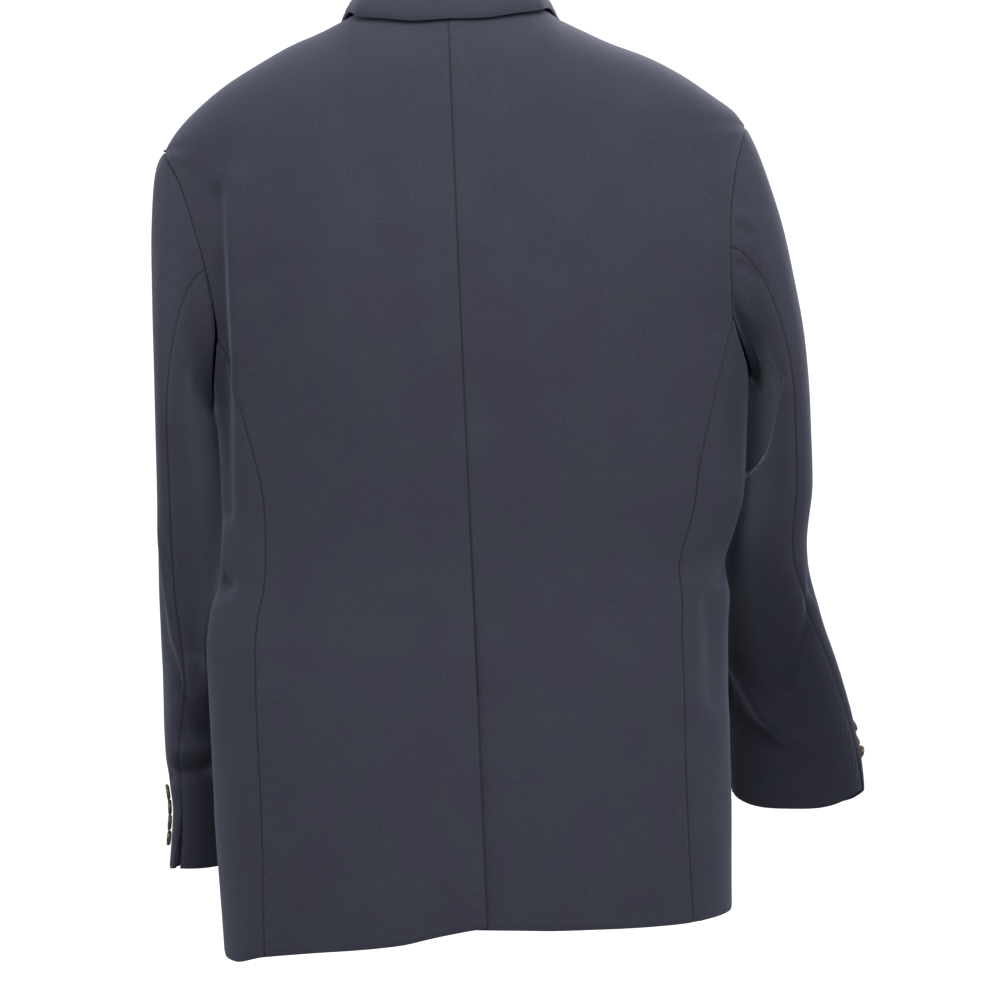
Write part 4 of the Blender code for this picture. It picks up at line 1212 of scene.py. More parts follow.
@dataclass
class Collar:
    """The collar in one piece: up the stand, over the fold and down the fall, flat towards the notch."""

    torso: TorsoForm
    fronts: Fronts
    cells: tuple[int, int] = (168, 72)
    shoulder_way: float = 0.50
    fold_radius: float = 0.0050
    seam_lift: float = 0.0006
    edge_lift: float = 0.0014
    gorge_gap: float = 0.0012
    laid_gap: float = 0.0004
    laid_rise: float = 0.010
    full_stand: float = 0.029
    least_down: float = 0.001
    laid_way: float = 0.5
    laid_fade: float = 0.30
    stand_share: float = 0.36
    fold_share: float = 0.18
    fall_start: float = 0.54
    fall_share: float = 0.46
    fall_handle: float = 0.35
    table: Table = Table(("way", "seam_x", "seam_reach", "stand", "lean", "edge_x", "edge_reach"), (
        (0.00, 0.0000, 0.0000, 0.034, 0.0080, 0.0000, -0.0993),
        (0.13, 0.0260, 0.0000, 0.034, 0.0085, 0.0300, -0.0930),
        (0.26, 0.0500, 0.0000, 0.033, 0.0090, 0.0590, -0.0767),
        (0.38, 0.0680, 0.0000, 0.031, 0.0095, 0.0790, -0.0550),
        (0.46, 0.0755, 0.0000, 0.030, 0.0095, 0.0860, -0.0260),
        (0.50, 0.0780, 0.0000, 0.029, 0.0090, 0.0890, -0.0125),
        (0.58, 0.0775, 0.0350, 0.026, 0.0080, 0.0960, 0.0137),
        (0.66, 0.0755, 0.0687, 0.021, 0.0055, 0.1040, 0.0294),
        (0.75, 0.0710, 0.1018, 0.013, 0.0025, 0.1180, 0.0528),
        (0.86, 0.0675, 0.1348, 0.004, 0.0000, 0.1350, 0.0699),
        (1.00, 0.1120, 0.1275, 0.001, 0.0000, 0.1530, 0.0895),
    ))

    def gorge_z(self, x: Array) -> Array:
        """Height of the line on which the collar's front end meets the lapel.

        Args:
            x: distance from the centre, less than 0 on the left.

        Returns:
            One height for each place.
        """
        table = self.fronts.lapel_table
        roll_z, edge_z, width = (table.column(name)[0] for name in ("roll_z", "edge_z", "width"))
        top_x = -self.fronts.edge_x(np.array(roll_z))
        return roll_z + (edge_z - roll_z) / width * (np.abs(x) - top_x) + self.gorge_gap

    def path(self, u: Array, v: Array) -> Array:
        """Outer points from the neck seam at v 0, over the fold, to the collar's edge at v 1.

        Args:
            u: share from the left end to the right one.
            v: share up the stand and down the fall.

        Returns:
            Outer points.
        """
        torso = self.torso
        side = np.where(u < 0.5, -1.0, 1.0)
        way = np.abs(2 * u - 1)
        row = {name: self.table.at(name, way) for name in self.table.columns[1:]}
        seam_x, edge_x = side * np.maximum(row["seam_x"], 1e-5), side * np.maximum(row["edge_x"], 1e-5)
        neck_z, gorge_z = torso.neck_z(seam_x), self.gorge_z(seam_x)
        neck_down = torso.down_to(neck_z, torso.column_of(seam_x, neck_z, Half.BACK), Half.BACK)
        gorge_down = torso.down_to(gorge_z, torso.column_of(seam_x, gorge_z, Half.FRONT), Half.FRONT)
        gorge_down = np.minimum(row["seam_reach"], gorge_down)
        seam, _ = torso.on_shoulder(seam_x, np.where(way <= self.shoulder_way, -neck_down, gorge_down))
        edge, edge_normal = torso.on_shoulder(edge_x, row["edge_reach"])
        seam = seam + UP * self.seam_lift
        edge = edge + edge_normal * (CLOTH.thick + self.fronts.lapel_clear + self.edge_lift)
        out = unit((edge - seam) * [1, 1, 0] + edge_normal * [1e-3, 1e-3, 0])
        fold = seam + row["stand"][..., None] * UP - out * row["lean"][..., None]
        span = np.minimum(row["stand"] / 3, self.fold_radius)[..., None]
        standing = self.section(seam, fold - out * span, fold + out * span, edge, out, span, v)
        flat_x = seam_x + (edge_x - seam_x) * v
        flat_down = np.maximum(gorge_down + (row["edge_reach"] - gorge_down) * v, self.least_down)
        laid, laid_normal = torso.below_ridge(flat_x, flat_down, Half.FRONT)
        rise = self.laid_rise * np.sin(math.pi * np.clip(v, 0, 1)) * row["stand"] / self.full_stand
        clear = CLOTH.thick + self.fronts.lapel_clear + self.laid_gap
        laid = laid + laid_normal * (clear + rise)[..., None]
        flat = ease((way - self.laid_way) / self.laid_fade)[..., None]
        return standing * (1 - flat) + laid * flat

    def section(
        self, seam: Array, inner: Array, outer: Array, edge: Array, out: Array, span: Array, v: Array
    ) -> Array:
        """Points of the section: stand, rounded fold and fall.

        Args:
            seam: points of the neck seam.
            inner: start of the fold.
            outer: end of the fold.
            edge: points of the collar's edge.
            out: outward directions.
            span: radius of the fold.
            v: share up the stand and down the fall.

        Returns:
            Outer points.
        """
        v = np.clip(v, 0, 1)[..., None]
        stand = seam + (inner - seam) * np.clip(v / self.stand_share, 0, 1)
        turn = np.clip((v - self.stand_share) / self.fold_share, 0, 1) * math.pi
        fold = (inner + outer) / 2 - out * span * np.cos(turn) + UP * span * np.sin(turn)
        b = np.clip((v - self.fall_start) / self.fall_share, 0, 1)
        handle = np.linalg.norm(edge - outer, axis=-1, keepdims=True) * self.fall_handle
        fall = (1 - b) ** 3 * outer + 3 * (1 - b) ** 2 * b * (outer - UP * handle)
        fall = fall + 3 * (1 - b) * b**2 * (edge + UP * handle) + b**3 * edge
        return np.where(v < self.stand_share, stand, np.where(v < self.fall_start, fold, fall))

    def piece(self) -> CutPiece:
        """The whole collar.

        Returns:
            The piece, not yet made.
        """

        def surface(u: Array, v: Array) -> Laid:
            """Outer point and normal of the collar.

            Args:
                u: share across the piece.
                v: share down the piece.

            Returns:
                Outer points and unit normals.
            """
            along = self.path(u + 1e-4, v) - self.path(u - 1e-4, v)
            up_path = self.path(u, v + 1e-4) - self.path(u, v - 1e-4)
            return self.path(u, v), unit(np.cross(up_path, along))

        sewn = (False, False, True, False)
        return CutPiece("collar", surface, self.cells, crowded=0.4, sewn=sewn, seed=14.0)


@dataclass
class Sleeve:
    """One two-piece sleeve, from the armhole to the cuff with its buttoned vent."""

    torso: TorsoForm
    side: Side
    rings: Table
    folds: FoldTable
    creases: FoldTable
    inner_creases: FoldTable
    outer_creases: FoldTable
    top_cells: tuple[int, int] = (96, 236)
    under_cells: tuple[int, int] = (88, 236)
    ring_power: float = 2.3
    head_z: float = -0.360
    head_share: float = 0.30
    hindarm_row: int = 6
    forearm_row: int = 7
    armhole_rows: int = 8
    side_cells: int = 7
    forearm_seam: float = 202.0
    cuff_vent: float = 0.16
    cuff_vent_open: float = 0.10
    cuff_rise_back: float = 0.0
    cuff_rise_front: float = 0.0
    head_out: float = 0.90
    head_down: float = 0.42
    head_start: float = 0.025
    head_handle: float = 0.42
    flank_turn: float = 0.55
    low_out: float = 0.55
    low_down: float = 0.80
    blend_power: float = 1.5
    fold_fade: float = 0.3
    behind_span: tuple[float, float] = (0.05, 0.35)
    ahead_span: tuple[float, float] = (0.10, 0.40)
    outside_span: tuple[float, float] = (0.35, 0.35)
    tuck_span: tuple[float, float] = (-0.30, 0.45)
    seam_half: float = 0.00003
    girth: tuple[float, float] = (0.075, 0.055)
    step: float = 4e-3
    tuck: Tuck | None = None

    def armhole_point(self, angle: Array) -> Array:
        """A point of the armhole's edge, the angle as on the sleeve's rings.

        Args:
            angle: radians round the armhole.

        Returns:
            Points of the edge.
        """
        torso, sign = self.torso, self.side.value
        z = torso.armhole_z + torso.armhole_half_height * np.sin(angle)
        column = sign * np.ones_like(z)
        found = []
        for half in (Half.BACK, Half.FRONT):
            upper = torso.panel_point(column, torso.down_to(z, column, half), half)
            reach = torso.reach_at(z, torso.armhole_reach[half]) / torso.sections.at(half.value, z)
            turn = np.arccos(np.clip(reach, 0, 1) ** (torso.section_power / 2))
            lower = torso.point(sign * (turn if half is Half.BACK else math.pi - turn), z)
            found.append(np.where((z < torso.side_seam_top_z)[..., None], lower, upper))
        return np.where((np.cos(angle) >= 0)[..., None], found[0], found[1])

    def leaving(self, angle: Array) -> Laid:
        """The armhole's edge and the direction in which the sleeve's cloth leaves it.

        Args:
            angle: radians round the armhole.

        Returns:
            The points and unit directions.
        """
        sign = self.side.value
        along = unit(self.armhole_point(angle + 0.02) - self.armhole_point(angle - 0.02))
        top = np.clip(np.sin(angle), 0, 1)
        flat = points_of(sign + 0 * angle, self.flank_turn * np.cos(angle) * (1 - top), 0 * angle)
        slope = points_of(sign * self.head_out + 0 * angle, 0 * angle, -self.head_down + 0 * angle)
        low = points_of(self.low_out * sign + 0 * angle, 0 * angle, -self.low_down + 0 * angle)
        weight_top = (top**self.blend_power)[..., None]
        weight_low = (np.clip(-np.sin(angle), 0, 1) ** self.blend_power)[..., None]
        mixed = slope * weight_top + low * weight_low + flat * (1 - weight_top) * (1 - weight_low)
        mixed = mixed - along * np.sum(mixed * along, -1, keepdims=True) * (1 - top[..., None])
        return self.armhole_point(angle), unit(mixed)

    def ring_point(self, angle: Array, z: Array) -> Array:
        """A point of the sleeve's tube at height z.

        Args:
            angle: radians round the sleeve.
            z: height.

        Returns:
            Points of the tube.
        """
        row = {name: self.rings.at(name, z) for name in self.rings.columns[1:]}
        turn = np.radians(row["turn"])
        back, out = np.cos(angle), np.sin(angle)
        power = 2 / self.ring_power
        back = np.sign(back) * np.abs(back) ** power * row["deep"]
        out = np.sign(out) * np.abs(out) ** power * row["thick"]
        x = row["x"] + self.side.value * (back * np.sin(turn) + out * np.cos(turn))
        y = row["y"] - back * np.cos(turn) + out * np.sin(turn)
        return points_of(x, y, z)

    def cuff_z(self, angle: Array) -> Array:
        """Height of the cuff's edge round the sleeve."""
        back, front = np.clip(np.cos(angle), 0, 1) ** 3, np.clip(-np.cos(angle), 0, 1) ** 3
        return self.rings.rows[0][0] + self.cuff_rise_back * back + self.cuff_rise_front * front

    def point(self, angle: Array, v: Array) -> Array:
        """A point of the sleeve, from the armhole at v 0 to the cuff at v 1.

        Args:
            angle: radians round the sleeve.
            v: share down the piece.

        Returns:
            Points without folds.
        """
        low_z = self.cuff_z(angle)
        start, leave = self.leaving(angle)
        start = start + leave * CLOTH.seam_gap
        end = self.ring_point(angle, self.head_z + 0 * angle)
        reach = np.linalg.norm(end - start, axis=-1, keepdims=True)
        first = start + leave * np.minimum(reach * self.head_handle, self.head_start)
        below = self.ring_point(angle, self.head_z - 0.01 + 0 * angle)
        second = end + unit(end - below) * reach * self.head_handle
        t = np.clip(v / self.head_share, 0, 1)[..., None]
        head = (1 - t) ** 3 * start + 3 * (1 - t) ** 2 * t * first + 3 * (1 - t) * t**2 * second + t**3 * end
        share = (v - self.head_share) / (1 - self.head_share)
        tube = self.ring_point(angle, self.head_z + (low_z - self.head_z) * share)
        return np.where((v < self.head_share)[..., None], head, tube)

    def surface(self, angle: Array, v: Array) -> Laid:
        """Outer point and normal of the sleeve.

        Args:
            angle: radians round the sleeve.
            v: share down the piece.

        Returns:
            Outer points and unit normals.
        """
        points = self.point(angle, v)
        step = self.step
        round_it = self.point(angle + step, v) - self.point(angle - step, v)
        down = self.point(angle, v + step) - self.point(angle, np.maximum(v - step, 0))
        normal = unit(np.cross(down, round_it)) * self.side.value
        fade = ease(np.sum(normal * [0, -1, 0], -1) / self.fold_fade)
        lift = self.folds.lift(points[..., 0], points[..., 2]) * fade
        return points + normal * lift[..., None], normal

    def relief(self, points: Array, normal: Array) -> Array:
        """Creases of the view from behind, of the view from the front and of both flanks.

        Args:
            points: outer points of the cloth.
            normal: unit normals of the points.

        Returns:
            Metres outwards for each point.
        """
        x, y, z = points[..., 0], points[..., 1], points[..., 2]
        behind = turned(-normal[..., 1], self.behind_span)
        ahead = turned(normal[..., 1], self.ahead_span)
        outside = turned(normal[..., 0] * self.side.value, self.outside_span)
        tucked = self.tuck.lift(x, z) * turned(-normal[..., 1], self.tuck_span) if self.tuck else 0.0
        return (
            tucked
            + self.creases.lift(x, z) * behind
            + self.inner_creases.lift(x * self.side.value, z) * ahead
            + self.outer_creases.lift(y, z) * outside
        )

    def armhole_angles(self) -> Array:
        """Angles of the panels' corners, from the hindarm seam over the shoulder and back to it.

        Returns:
            Rising angles, one for each corner.
        """
        torso, sign = self.torso, self.side.value
        row = np.arange(self.armhole_rows + 1.0)
        edge = sign * (1 - torso.column_gap) + 0 * row
        rows = {}
        for half in (Half.BACK, Half.FRONT):
            z = torso.height_on(edge, torso.panel_rows(row, edge, CLOTH.seam_gap / 2, 0.8, half), half)
            rows[half] = np.arcsin(np.clip((z - torso.armhole_z) / torso.armhole_half_height, -1, 1))
            rows[half][0] = math.pi / 2
        share = np.arange(1, self.side_cells) / self.side_cells
        low_z = torso.side_top(self.side, share)
        low_y = torso.point(sign * torso.side_angle(low_z, share), low_z)[..., 1]
        loop = np.where(low_y < 0, torso.armhole_reach[Half.BACK], torso.armhole_reach[Half.FRONT])
        under = np.arctan2((low_z - torso.armhole_z) / torso.armhole_half_height, -low_y / loop) + 2 * math.pi
        up_back = rows[Half.BACK][: self.hindarm_row + 1][::-1]
        down_front = math.pi - rows[Half.FRONT][1:]
        rest = rows[Half.BACK][self.hindarm_row :][::-1] + 2 * math.pi
        return np.concatenate([up_back, down_front, under[::-1], rest])

    def piece(self, is_top: bool) -> CutPiece:
        """The top or the under sleeve; the hindarm seam between them is open at the cuff.

        Args:
            is_top: whether it is the top sleeve.

        Returns:
            The piece, not yet made.
        """
        around = self.armhole_angles()
        seam = self.hindarm_row + self.forearm_row
        corners = around[: seam + 1] if is_top else around[seam:]
        places = np.linspace(0, 1, len(corners))
        first, last = (0.0, self.forearm_seam) if is_top else (self.forearm_seam, 360.0)

        def surface(u: Array, v: Array) -> Laid:
            """Outer point and normal of the sleeve's half.

            Args:
                u: share across the piece.
                v: share down the piece.

            Returns:
                Outer points and unit normals.
            """
            share = (v - self.head_share) / (1 - self.head_share)
            width = self.seam_half / follow(np.array([0.0, 1.0]), np.array(self.girth), v)
            opened = self.cuff_vent_open * ease((share - 1 + self.cuff_vent) / self.cuff_vent)
            start = math.radians(first) + width + (opened if is_top else 0)
            end = math.radians(last) - width - (0 if is_top else opened)
            even = start + (end - start) * u
            fitted = np.interp(u, places, corners) + width * (1 - 2 * u) * ((u == 0) | (u == 1))
            return self.surface(fitted + (even - fitted) * ease(v / self.head_share), v)

        name = self.side.name_of("top_sleeve" if is_top else "under_sleeve")
        cells = self.top_cells if is_top else self.under_cells
        seed = 17.0 + is_top + self.side.value
        return CutPiece(name, surface, cells, self.relief, seed=seed)


def left_sleeve(torso: TorsoForm) -> Sleeve:
    """The left sleeve, hanging close to the body and turned little.

    Args:
        torso: the form that the sleeve hangs from.

    Returns:
        The sleeve.
    """
    return Sleeve(
        torso,
        Side.LEFT,
        cuff_rise_back=0.003,
        cuff_rise_front=-0.004,
        rings=Table(("z", "x", "y", "thick", "deep", "turn"), (
            (-0.751, -0.2505, 0.086, 0.0230, 0.066, 26),
            (-0.700, -0.2480, 0.078, 0.0235, 0.067, 20),
            (-0.655, -0.2550, 0.067, 0.0235, 0.070, 12),
            (-0.615, -0.2622, 0.058, 0.0228, 0.074, 1),
            (-0.560, -0.2635, 0.046, 0.0225, 0.078, -5),
            (-0.500, -0.2562, 0.032, 0.0233, 0.083, 2),
            (-0.430, -0.2485, 0.018, 0.0225, 0.088, 6),
            (-0.360, -0.2460, 0.008, 0.0215, 0.092, 6),
        )),
        folds=FoldTable((
            (-0.250, -0.560, -0.236, -0.625, 0.007, 0.0045),
            (-0.262, -0.585, -0.250, -0.632, 0.007, -0.0040),
            (-0.278, -0.662, -0.236, -0.655, 0.007, -0.0055),
            (-0.270, -0.640, -0.240, -0.636, 0.008, 0.0030),
        )),
        creases=FoldTable((
            (-0.287, -0.330, -0.272, -0.440, 0.0045, 0.0024),
            (-0.272, -0.440, -0.262, -0.540, 0.0045, 0.0026),
            (-0.262, -0.540, -0.234, -0.632, 0.0045, 0.0026),
            (-0.279, -0.400, -0.272, -0.540, 0.0055, -0.0028),
            (-0.272, -0.540, -0.246, -0.632, 0.0060, -0.0030),
            (-0.262, -0.628, -0.240, -0.590, 0.0060, -0.0016),
        ), ends=0.18),
        inner_creases=FoldTable((
            (0.225, -0.400, 0.268, -0.430, 0.010, -0.0026),
            (0.225, -0.455, 0.270, -0.470, 0.010, 0.0022),
            (0.230, -0.500, 0.275, -0.485, 0.011, -0.0026),
            (0.240, -0.300, 0.262, -0.380, 0.012, 0.0018),
            (0.240, -0.600, 0.275, -0.630, 0.012, -0.0018),
        ), ends=0.30),
        outer_creases=FoldTable((
            (0.060, -0.420, -0.020, -0.480, 0.014, -0.0022),
            (0.070, -0.470, 0.000, -0.520, 0.014, 0.0018),
            (0.085, -0.530, 0.010, -0.560, 0.013, -0.0018),
            (0.040, -0.250, 0.050, -0.400, 0.018, 0.0016),
            (0.000, -0.180, 0.015, -0.330, 0.016, -0.0014),
            (0.100, -0.640, 0.050, -0.690, 0.014, 0.0014),
        ), ends=0.30),
    )


def right_sleeve(torso: TorsoForm) -> Sleeve:
    """The right sleeve, pushed out by the hip and turned to show its back at the cuff.

    Args:
        torso: the form that the sleeve hangs from.

    Returns:
        The sleeve.
    """
    return Sleeve(
        torso,
        Side.RIGHT,
        cuff_rise_back=0.017,
        cuff_rise_front=0.015,
        cuff_vent_open=0.04,
        head_out=0.62,
        head_down=0.78,
        head_start=0.028,
        tuck=Tuck(
            start=(0.2345, -0.2640),
            end=(0.2734, -0.3349),
            slope=0.75,
            depth=0.015,
            rim=Table(("z", "x"), (
                (-0.470, 0.2000),
                (-0.425, 0.2400),
                (-0.412, 0.2500),
                (-0.396, 0.2587),
                (-0.354, 0.2680),
                (-0.337, 0.2745),
                (-0.320, 0.3200),
            )),
        ),
        rings=Table(("z", "x", "y", "thick", "deep", "turn"), (
            (-0.727, 0.2930, 0.114, 0.0270, 0.0635, 66),
            (-0.675, 0.2880, 0.096, 0.0275, 0.069, 50),
            (-0.610, 0.2780, 0.072, 0.0275, 0.073, 36),
            (-0.540, 0.2650, 0.046, 0.0270, 0.079, 21),
            (-0.490, 0.2610, 0.030, 0.0270, 0.083, 12),
            (-0.425, 0.2720, 0.015, 0.0255, 0.088, 6),
            (-0.360, 0.2745, 0.007, 0.0240, 0.092, 4),
        )),
        folds=FoldTable((
            (0.299, -0.500, 0.287, -0.568, 0.006, -0.0050),
            (0.287, -0.568, 0.279, -0.612, 0.006, -0.0035),
            (0.224, -0.600, 0.243, -0.640, 0.010, -0.0060),
            (0.243, -0.640, 0.272, -0.668, 0.009, -0.0050),
            (0.233, -0.588, 0.262, -0.640, 0.008, 0.0040),
        )),
        creases=FoldTable((
            (0.232, -0.170, 0.250, -0.190, 0.0060, -0.0012),
            (0.236, -0.205, 0.256, -0.214, 0.0060, -0.0014),
            (0.238, -0.232, 0.254, -0.250, 0.0060, -0.0012),
            (0.236, -0.190, 0.254, -0.200, 0.0060, 0.0009),
            (0.289, -0.500, 0.277, -0.610, 0.0060, 0.0016),
            (0.226, -0.560, 0.252, -0.635, 0.0070, 0.0024),
            (0.252, -0.635, 0.290, -0.668, 0.0070, 0.0020),
        ), ends=0.22),
        inner_creases=FoldTable((
            (0.245, -0.400, 0.290, -0.430, 0.010, -0.0026),
            (0.245, -0.450, 0.295, -0.470, 0.010, 0.0022),
            (0.250, -0.500, 0.300, -0.495, 0.011, -0.0026),
            (0.258, -0.300, 0.285, -0.380, 0.012, 0.0018),
            (0.270, -0.600, 0.320, -0.640, 0.012, -0.0020),
        ), ends=0.30),
        outer_creases=FoldTable((
            (0.060, -0.400, -0.020, -0.450, 0.014, -0.0022),
            (0.075, -0.450, 0.000, -0.500, 0.014, 0.0020),
            (0.095, -0.520, 0.010, -0.550, 0.013, -0.0020),
            (0.040, -0.240, 0.050, -0.390, 0.018, 0.0016),
            (0.000, -0.180, 0.015, -0.320, 0.016, -0.0014),
            (0.120, -0.620, 0.060, -0.670, 0.014, 0.0016),
        ), ends=0.30),
    )


@dataclass
class HornButton:
    """A turned four-hole button with a raised rim, a dished middle and its sewing thread."""

    node: str
    middle: Vector
    normal: Vector
    radius: float
    thick: float
    rim: float = 0.22
    dish: float = 0.28
    segments: int = 48
    hole_at: float = 0.27
    hole: float = 0.095
    thread: float = 0.00032
    disc_depth: float = 0.00012
    disc_lift: float = 0.00004
    strand_side: float = 0.8
    strand_step: float = 0.0001
    strand_sink: float = 0.0002
    strand_arch: float = 0.0005
    strand_cells: int = 8

    def placed(self) -> Matrix:
        """From the button's own axes, with its face up, to the jacket."""
        turn = Vector((0, 0, 1)).rotation_difference(self.normal).to_matrix().to_4x4()
        return Matrix.Translation(self.middle) @ turn

    def profile(self) -> list[tuple[float, float]]:
        """Radius and height of the turned section, from the middle of the face to the middle of the back.

        Returns:
            Pairs of radius and height.
        """
        r, t = self.radius, self.thick
        inside = r * (1 - self.rim)
        low = t * (1 - self.dish)
        rim = [(r - 0.5 * self.rim * r * (1 - math.cos(a)), t - 0.18 * t * (1 - math.sin(a))) for a in
               (math.pi * k / 8 for k in range(1, 8))]
        return [(0.0, low), (inside * 0.55, low), (inside * 0.90, low + 0.02 * t), *rim[::-1],
                (r, t * 0.62), (r * 0.985, t * 0.36), (r * 0.80, t * 0.06), (r * 0.45, 0.0), (0.0, 0.0)]

    def build(self, finish: Material, hole_finish: Material, thread_finish: Material) -> Object:
        """Makes the button with its holes and thread, in place of its solid.

        Args:
            finish: the horn.
            hole_finish: the painted shadow inside the holes.
            thread_finish: the sewing thread.

        Returns:
            The button, which the thread rides with.
        """
        shape = bmesh.new()
        ring = [shape.verts.new((radius, 0.0, height)) for radius, height in self.profile()]
        edges = [shape.edges.new(pair) for pair in zip(ring, ring[1:])]
        bmesh.ops.spin(
            shape, geom=ring + edges, cent=(0, 0, 0), axis=(0, 0, 1), dvec=(0, 0, 0),
            angle=2 * math.pi, steps=self.segments, use_merge=True, use_duplicate=False,
        )
        bmesh.ops.remove_doubles(shape, verts=shape.verts, dist=1e-6)
        bmesh.ops.recalc_face_normals(shape, faces=shape.faces)
        if shape.calc_volume(signed=True) < 0:
            bmesh.ops.reverse_faces(shape, faces=shape.faces)
        bmesh.ops.transform(shape, matrix=self.placed(), verts=shape.verts)
        made = finish_object(f"{self.node}_horn", shape, finish)
        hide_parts(self.node)
        self.holes(hole_finish)
        self.sewing(thread_finish)
        log.info("%s: %.1f mm across", made.name, 2000 * self.radius)
        return made

    def corners(self) -> list[tuple[float, float]]:
        """Centres of the four holes."""
        at = self.hole_at * self.radius
        return [(at * a, at * b) for a, b in ((1, 1), (-1, 1), (-1, -1), (1, -1))]

    def holes(self, finish: Material) -> None:
        """Discs of painted shadow with a rounded lip, one in each hole of the dished middle.

        Args:
            finish: the material.
        """
        shape = bmesh.new()
        floor = self.thick * (1 - self.dish)
        for x, y in self.corners():
            bmesh.ops.create_cone(
                shape, cap_ends=True, segments=16, radius1=self.hole * self.radius * 1.15,
                radius2=self.hole * self.radius, depth=self.disc_depth,
                matrix=Matrix.Translation((x, y, floor + self.disc_lift)),
            )
        bmesh.ops.transform(shape, matrix=self.placed(), verts=shape.verts)
        finish_object(f"{self.node}_holes", shape, finish)

    def sewing(self, finish: Material) -> None:
        """Four strands of thread that cross the middle from hole to hole.

        Args:
            finish: the material.
        """
        shape = bmesh.new()
        floor = self.thick * (1 - self.dish)
        corners = self.corners()
        for first, second in ((0, 2), (1, 3)):
            for offset in (-self.strand_side, self.strand_side):
                beside, height = offset * self.thread, floor + self.strand_step * first
                self.strand(shape, corners[first], corners[second], beside, height)
        bmesh.ops.transform(shape, matrix=self.placed(), verts=shape.verts)
        finish_object(f"{self.node}_thread", shape, finish)

    def strand(self, shape: Shape, start: tuple[float, float], end: tuple[float, float],
               offset: float, floor: float) -> None:
        """One arched strand between two holes, beside the line between their centres.

        Args:
            shape: the bmesh that is added to.
            start: centre of the first hole.
            end: centre of the second hole.
            offset: metres beside the line.
            floor: height of the dished middle.
        """
        a, b = Vector((*start, 0)), Vector((*end, 0))
        along = (b - a).normalized()
        beside = Vector((-along.y, along.x, 0)) * offset
        rings = []
        for k in range(self.strand_cells + 1):
            t = k / self.strand_cells
            arch = self.strand_arch * math.sin(math.pi * t)
            centre = a.lerp(b, t) + beside + Vector((0, 0, floor - self.strand_sink + arch))
            made = bmesh.ops.create_circle(shape, cap_ends=False, segments=6, radius=self.thread / 2)["verts"]
            facing = Vector((0, 0, 1)).rotation_difference(along).to_matrix().to_4x4()
            bmesh.ops.transform(shape, matrix=Matrix.Translation(centre) @ facing, verts=made)
            rings.append([edge for edge in shape.edges if edge.verts[0] in made and edge.verts[1] in made])
        for one, other in zip(rings, rings[1:]):
            bmesh.ops.bridge_loops(shape, edges=one + other)


@dataclass
class Buttonhole:
    """A worked buttonhole beside a front button, drawn as close stitches above and below its line; no slit is
    cut.
    """

    button: HornButton
    start: float = 0.0085
    length: float = 0.0115
    stitches: int = 22
    bar: float = 0.0013
    thread: float = 0.00024
    apart: float = 0.6

    def build(self, cloth: Object, finish: Material) -> Object:
        """Lays the stitches on the front's cloth.

        Args:
            cloth: the finished left front, on which the stitches lie.
            finish: the buttonhole silk.

        Returns:
            The stitches as one object.
        """
        mesh = cloth.data
        corners, faces = [vert.co for vert in mesh.vertices], [face.vertices for face in mesh.polygons]
        surface = BVHTree.FromPolygons(corners, faces)
        shape = bmesh.new()
        for k in range(self.stitches):
            x = self.button.middle.x - self.start - self.length * k / (self.stitches - 1)
            for way in (-1, 1):
                above = Vector((x, 1.0, self.button.middle.z + way * self.bar * self.apart))
                spot, normal, _, _ = surface.ray_cast(above, Vector((0, -1, 0)))
                if spot is None:
                    continue
                place = Matrix.Translation(spot + normal * self.thread * 0.5)
                bmesh.ops.create_cone(
                    shape, cap_ends=True, segments=6, radius1=self.thread, radius2=self.thread,
                    depth=self.bar, matrix=place,
                )
        made = finish_object(f"{self.button.node}_hole_silk", shape, finish)
        log.info("%s: %d stitches", made.name, 2 * self.stitches)
        return made


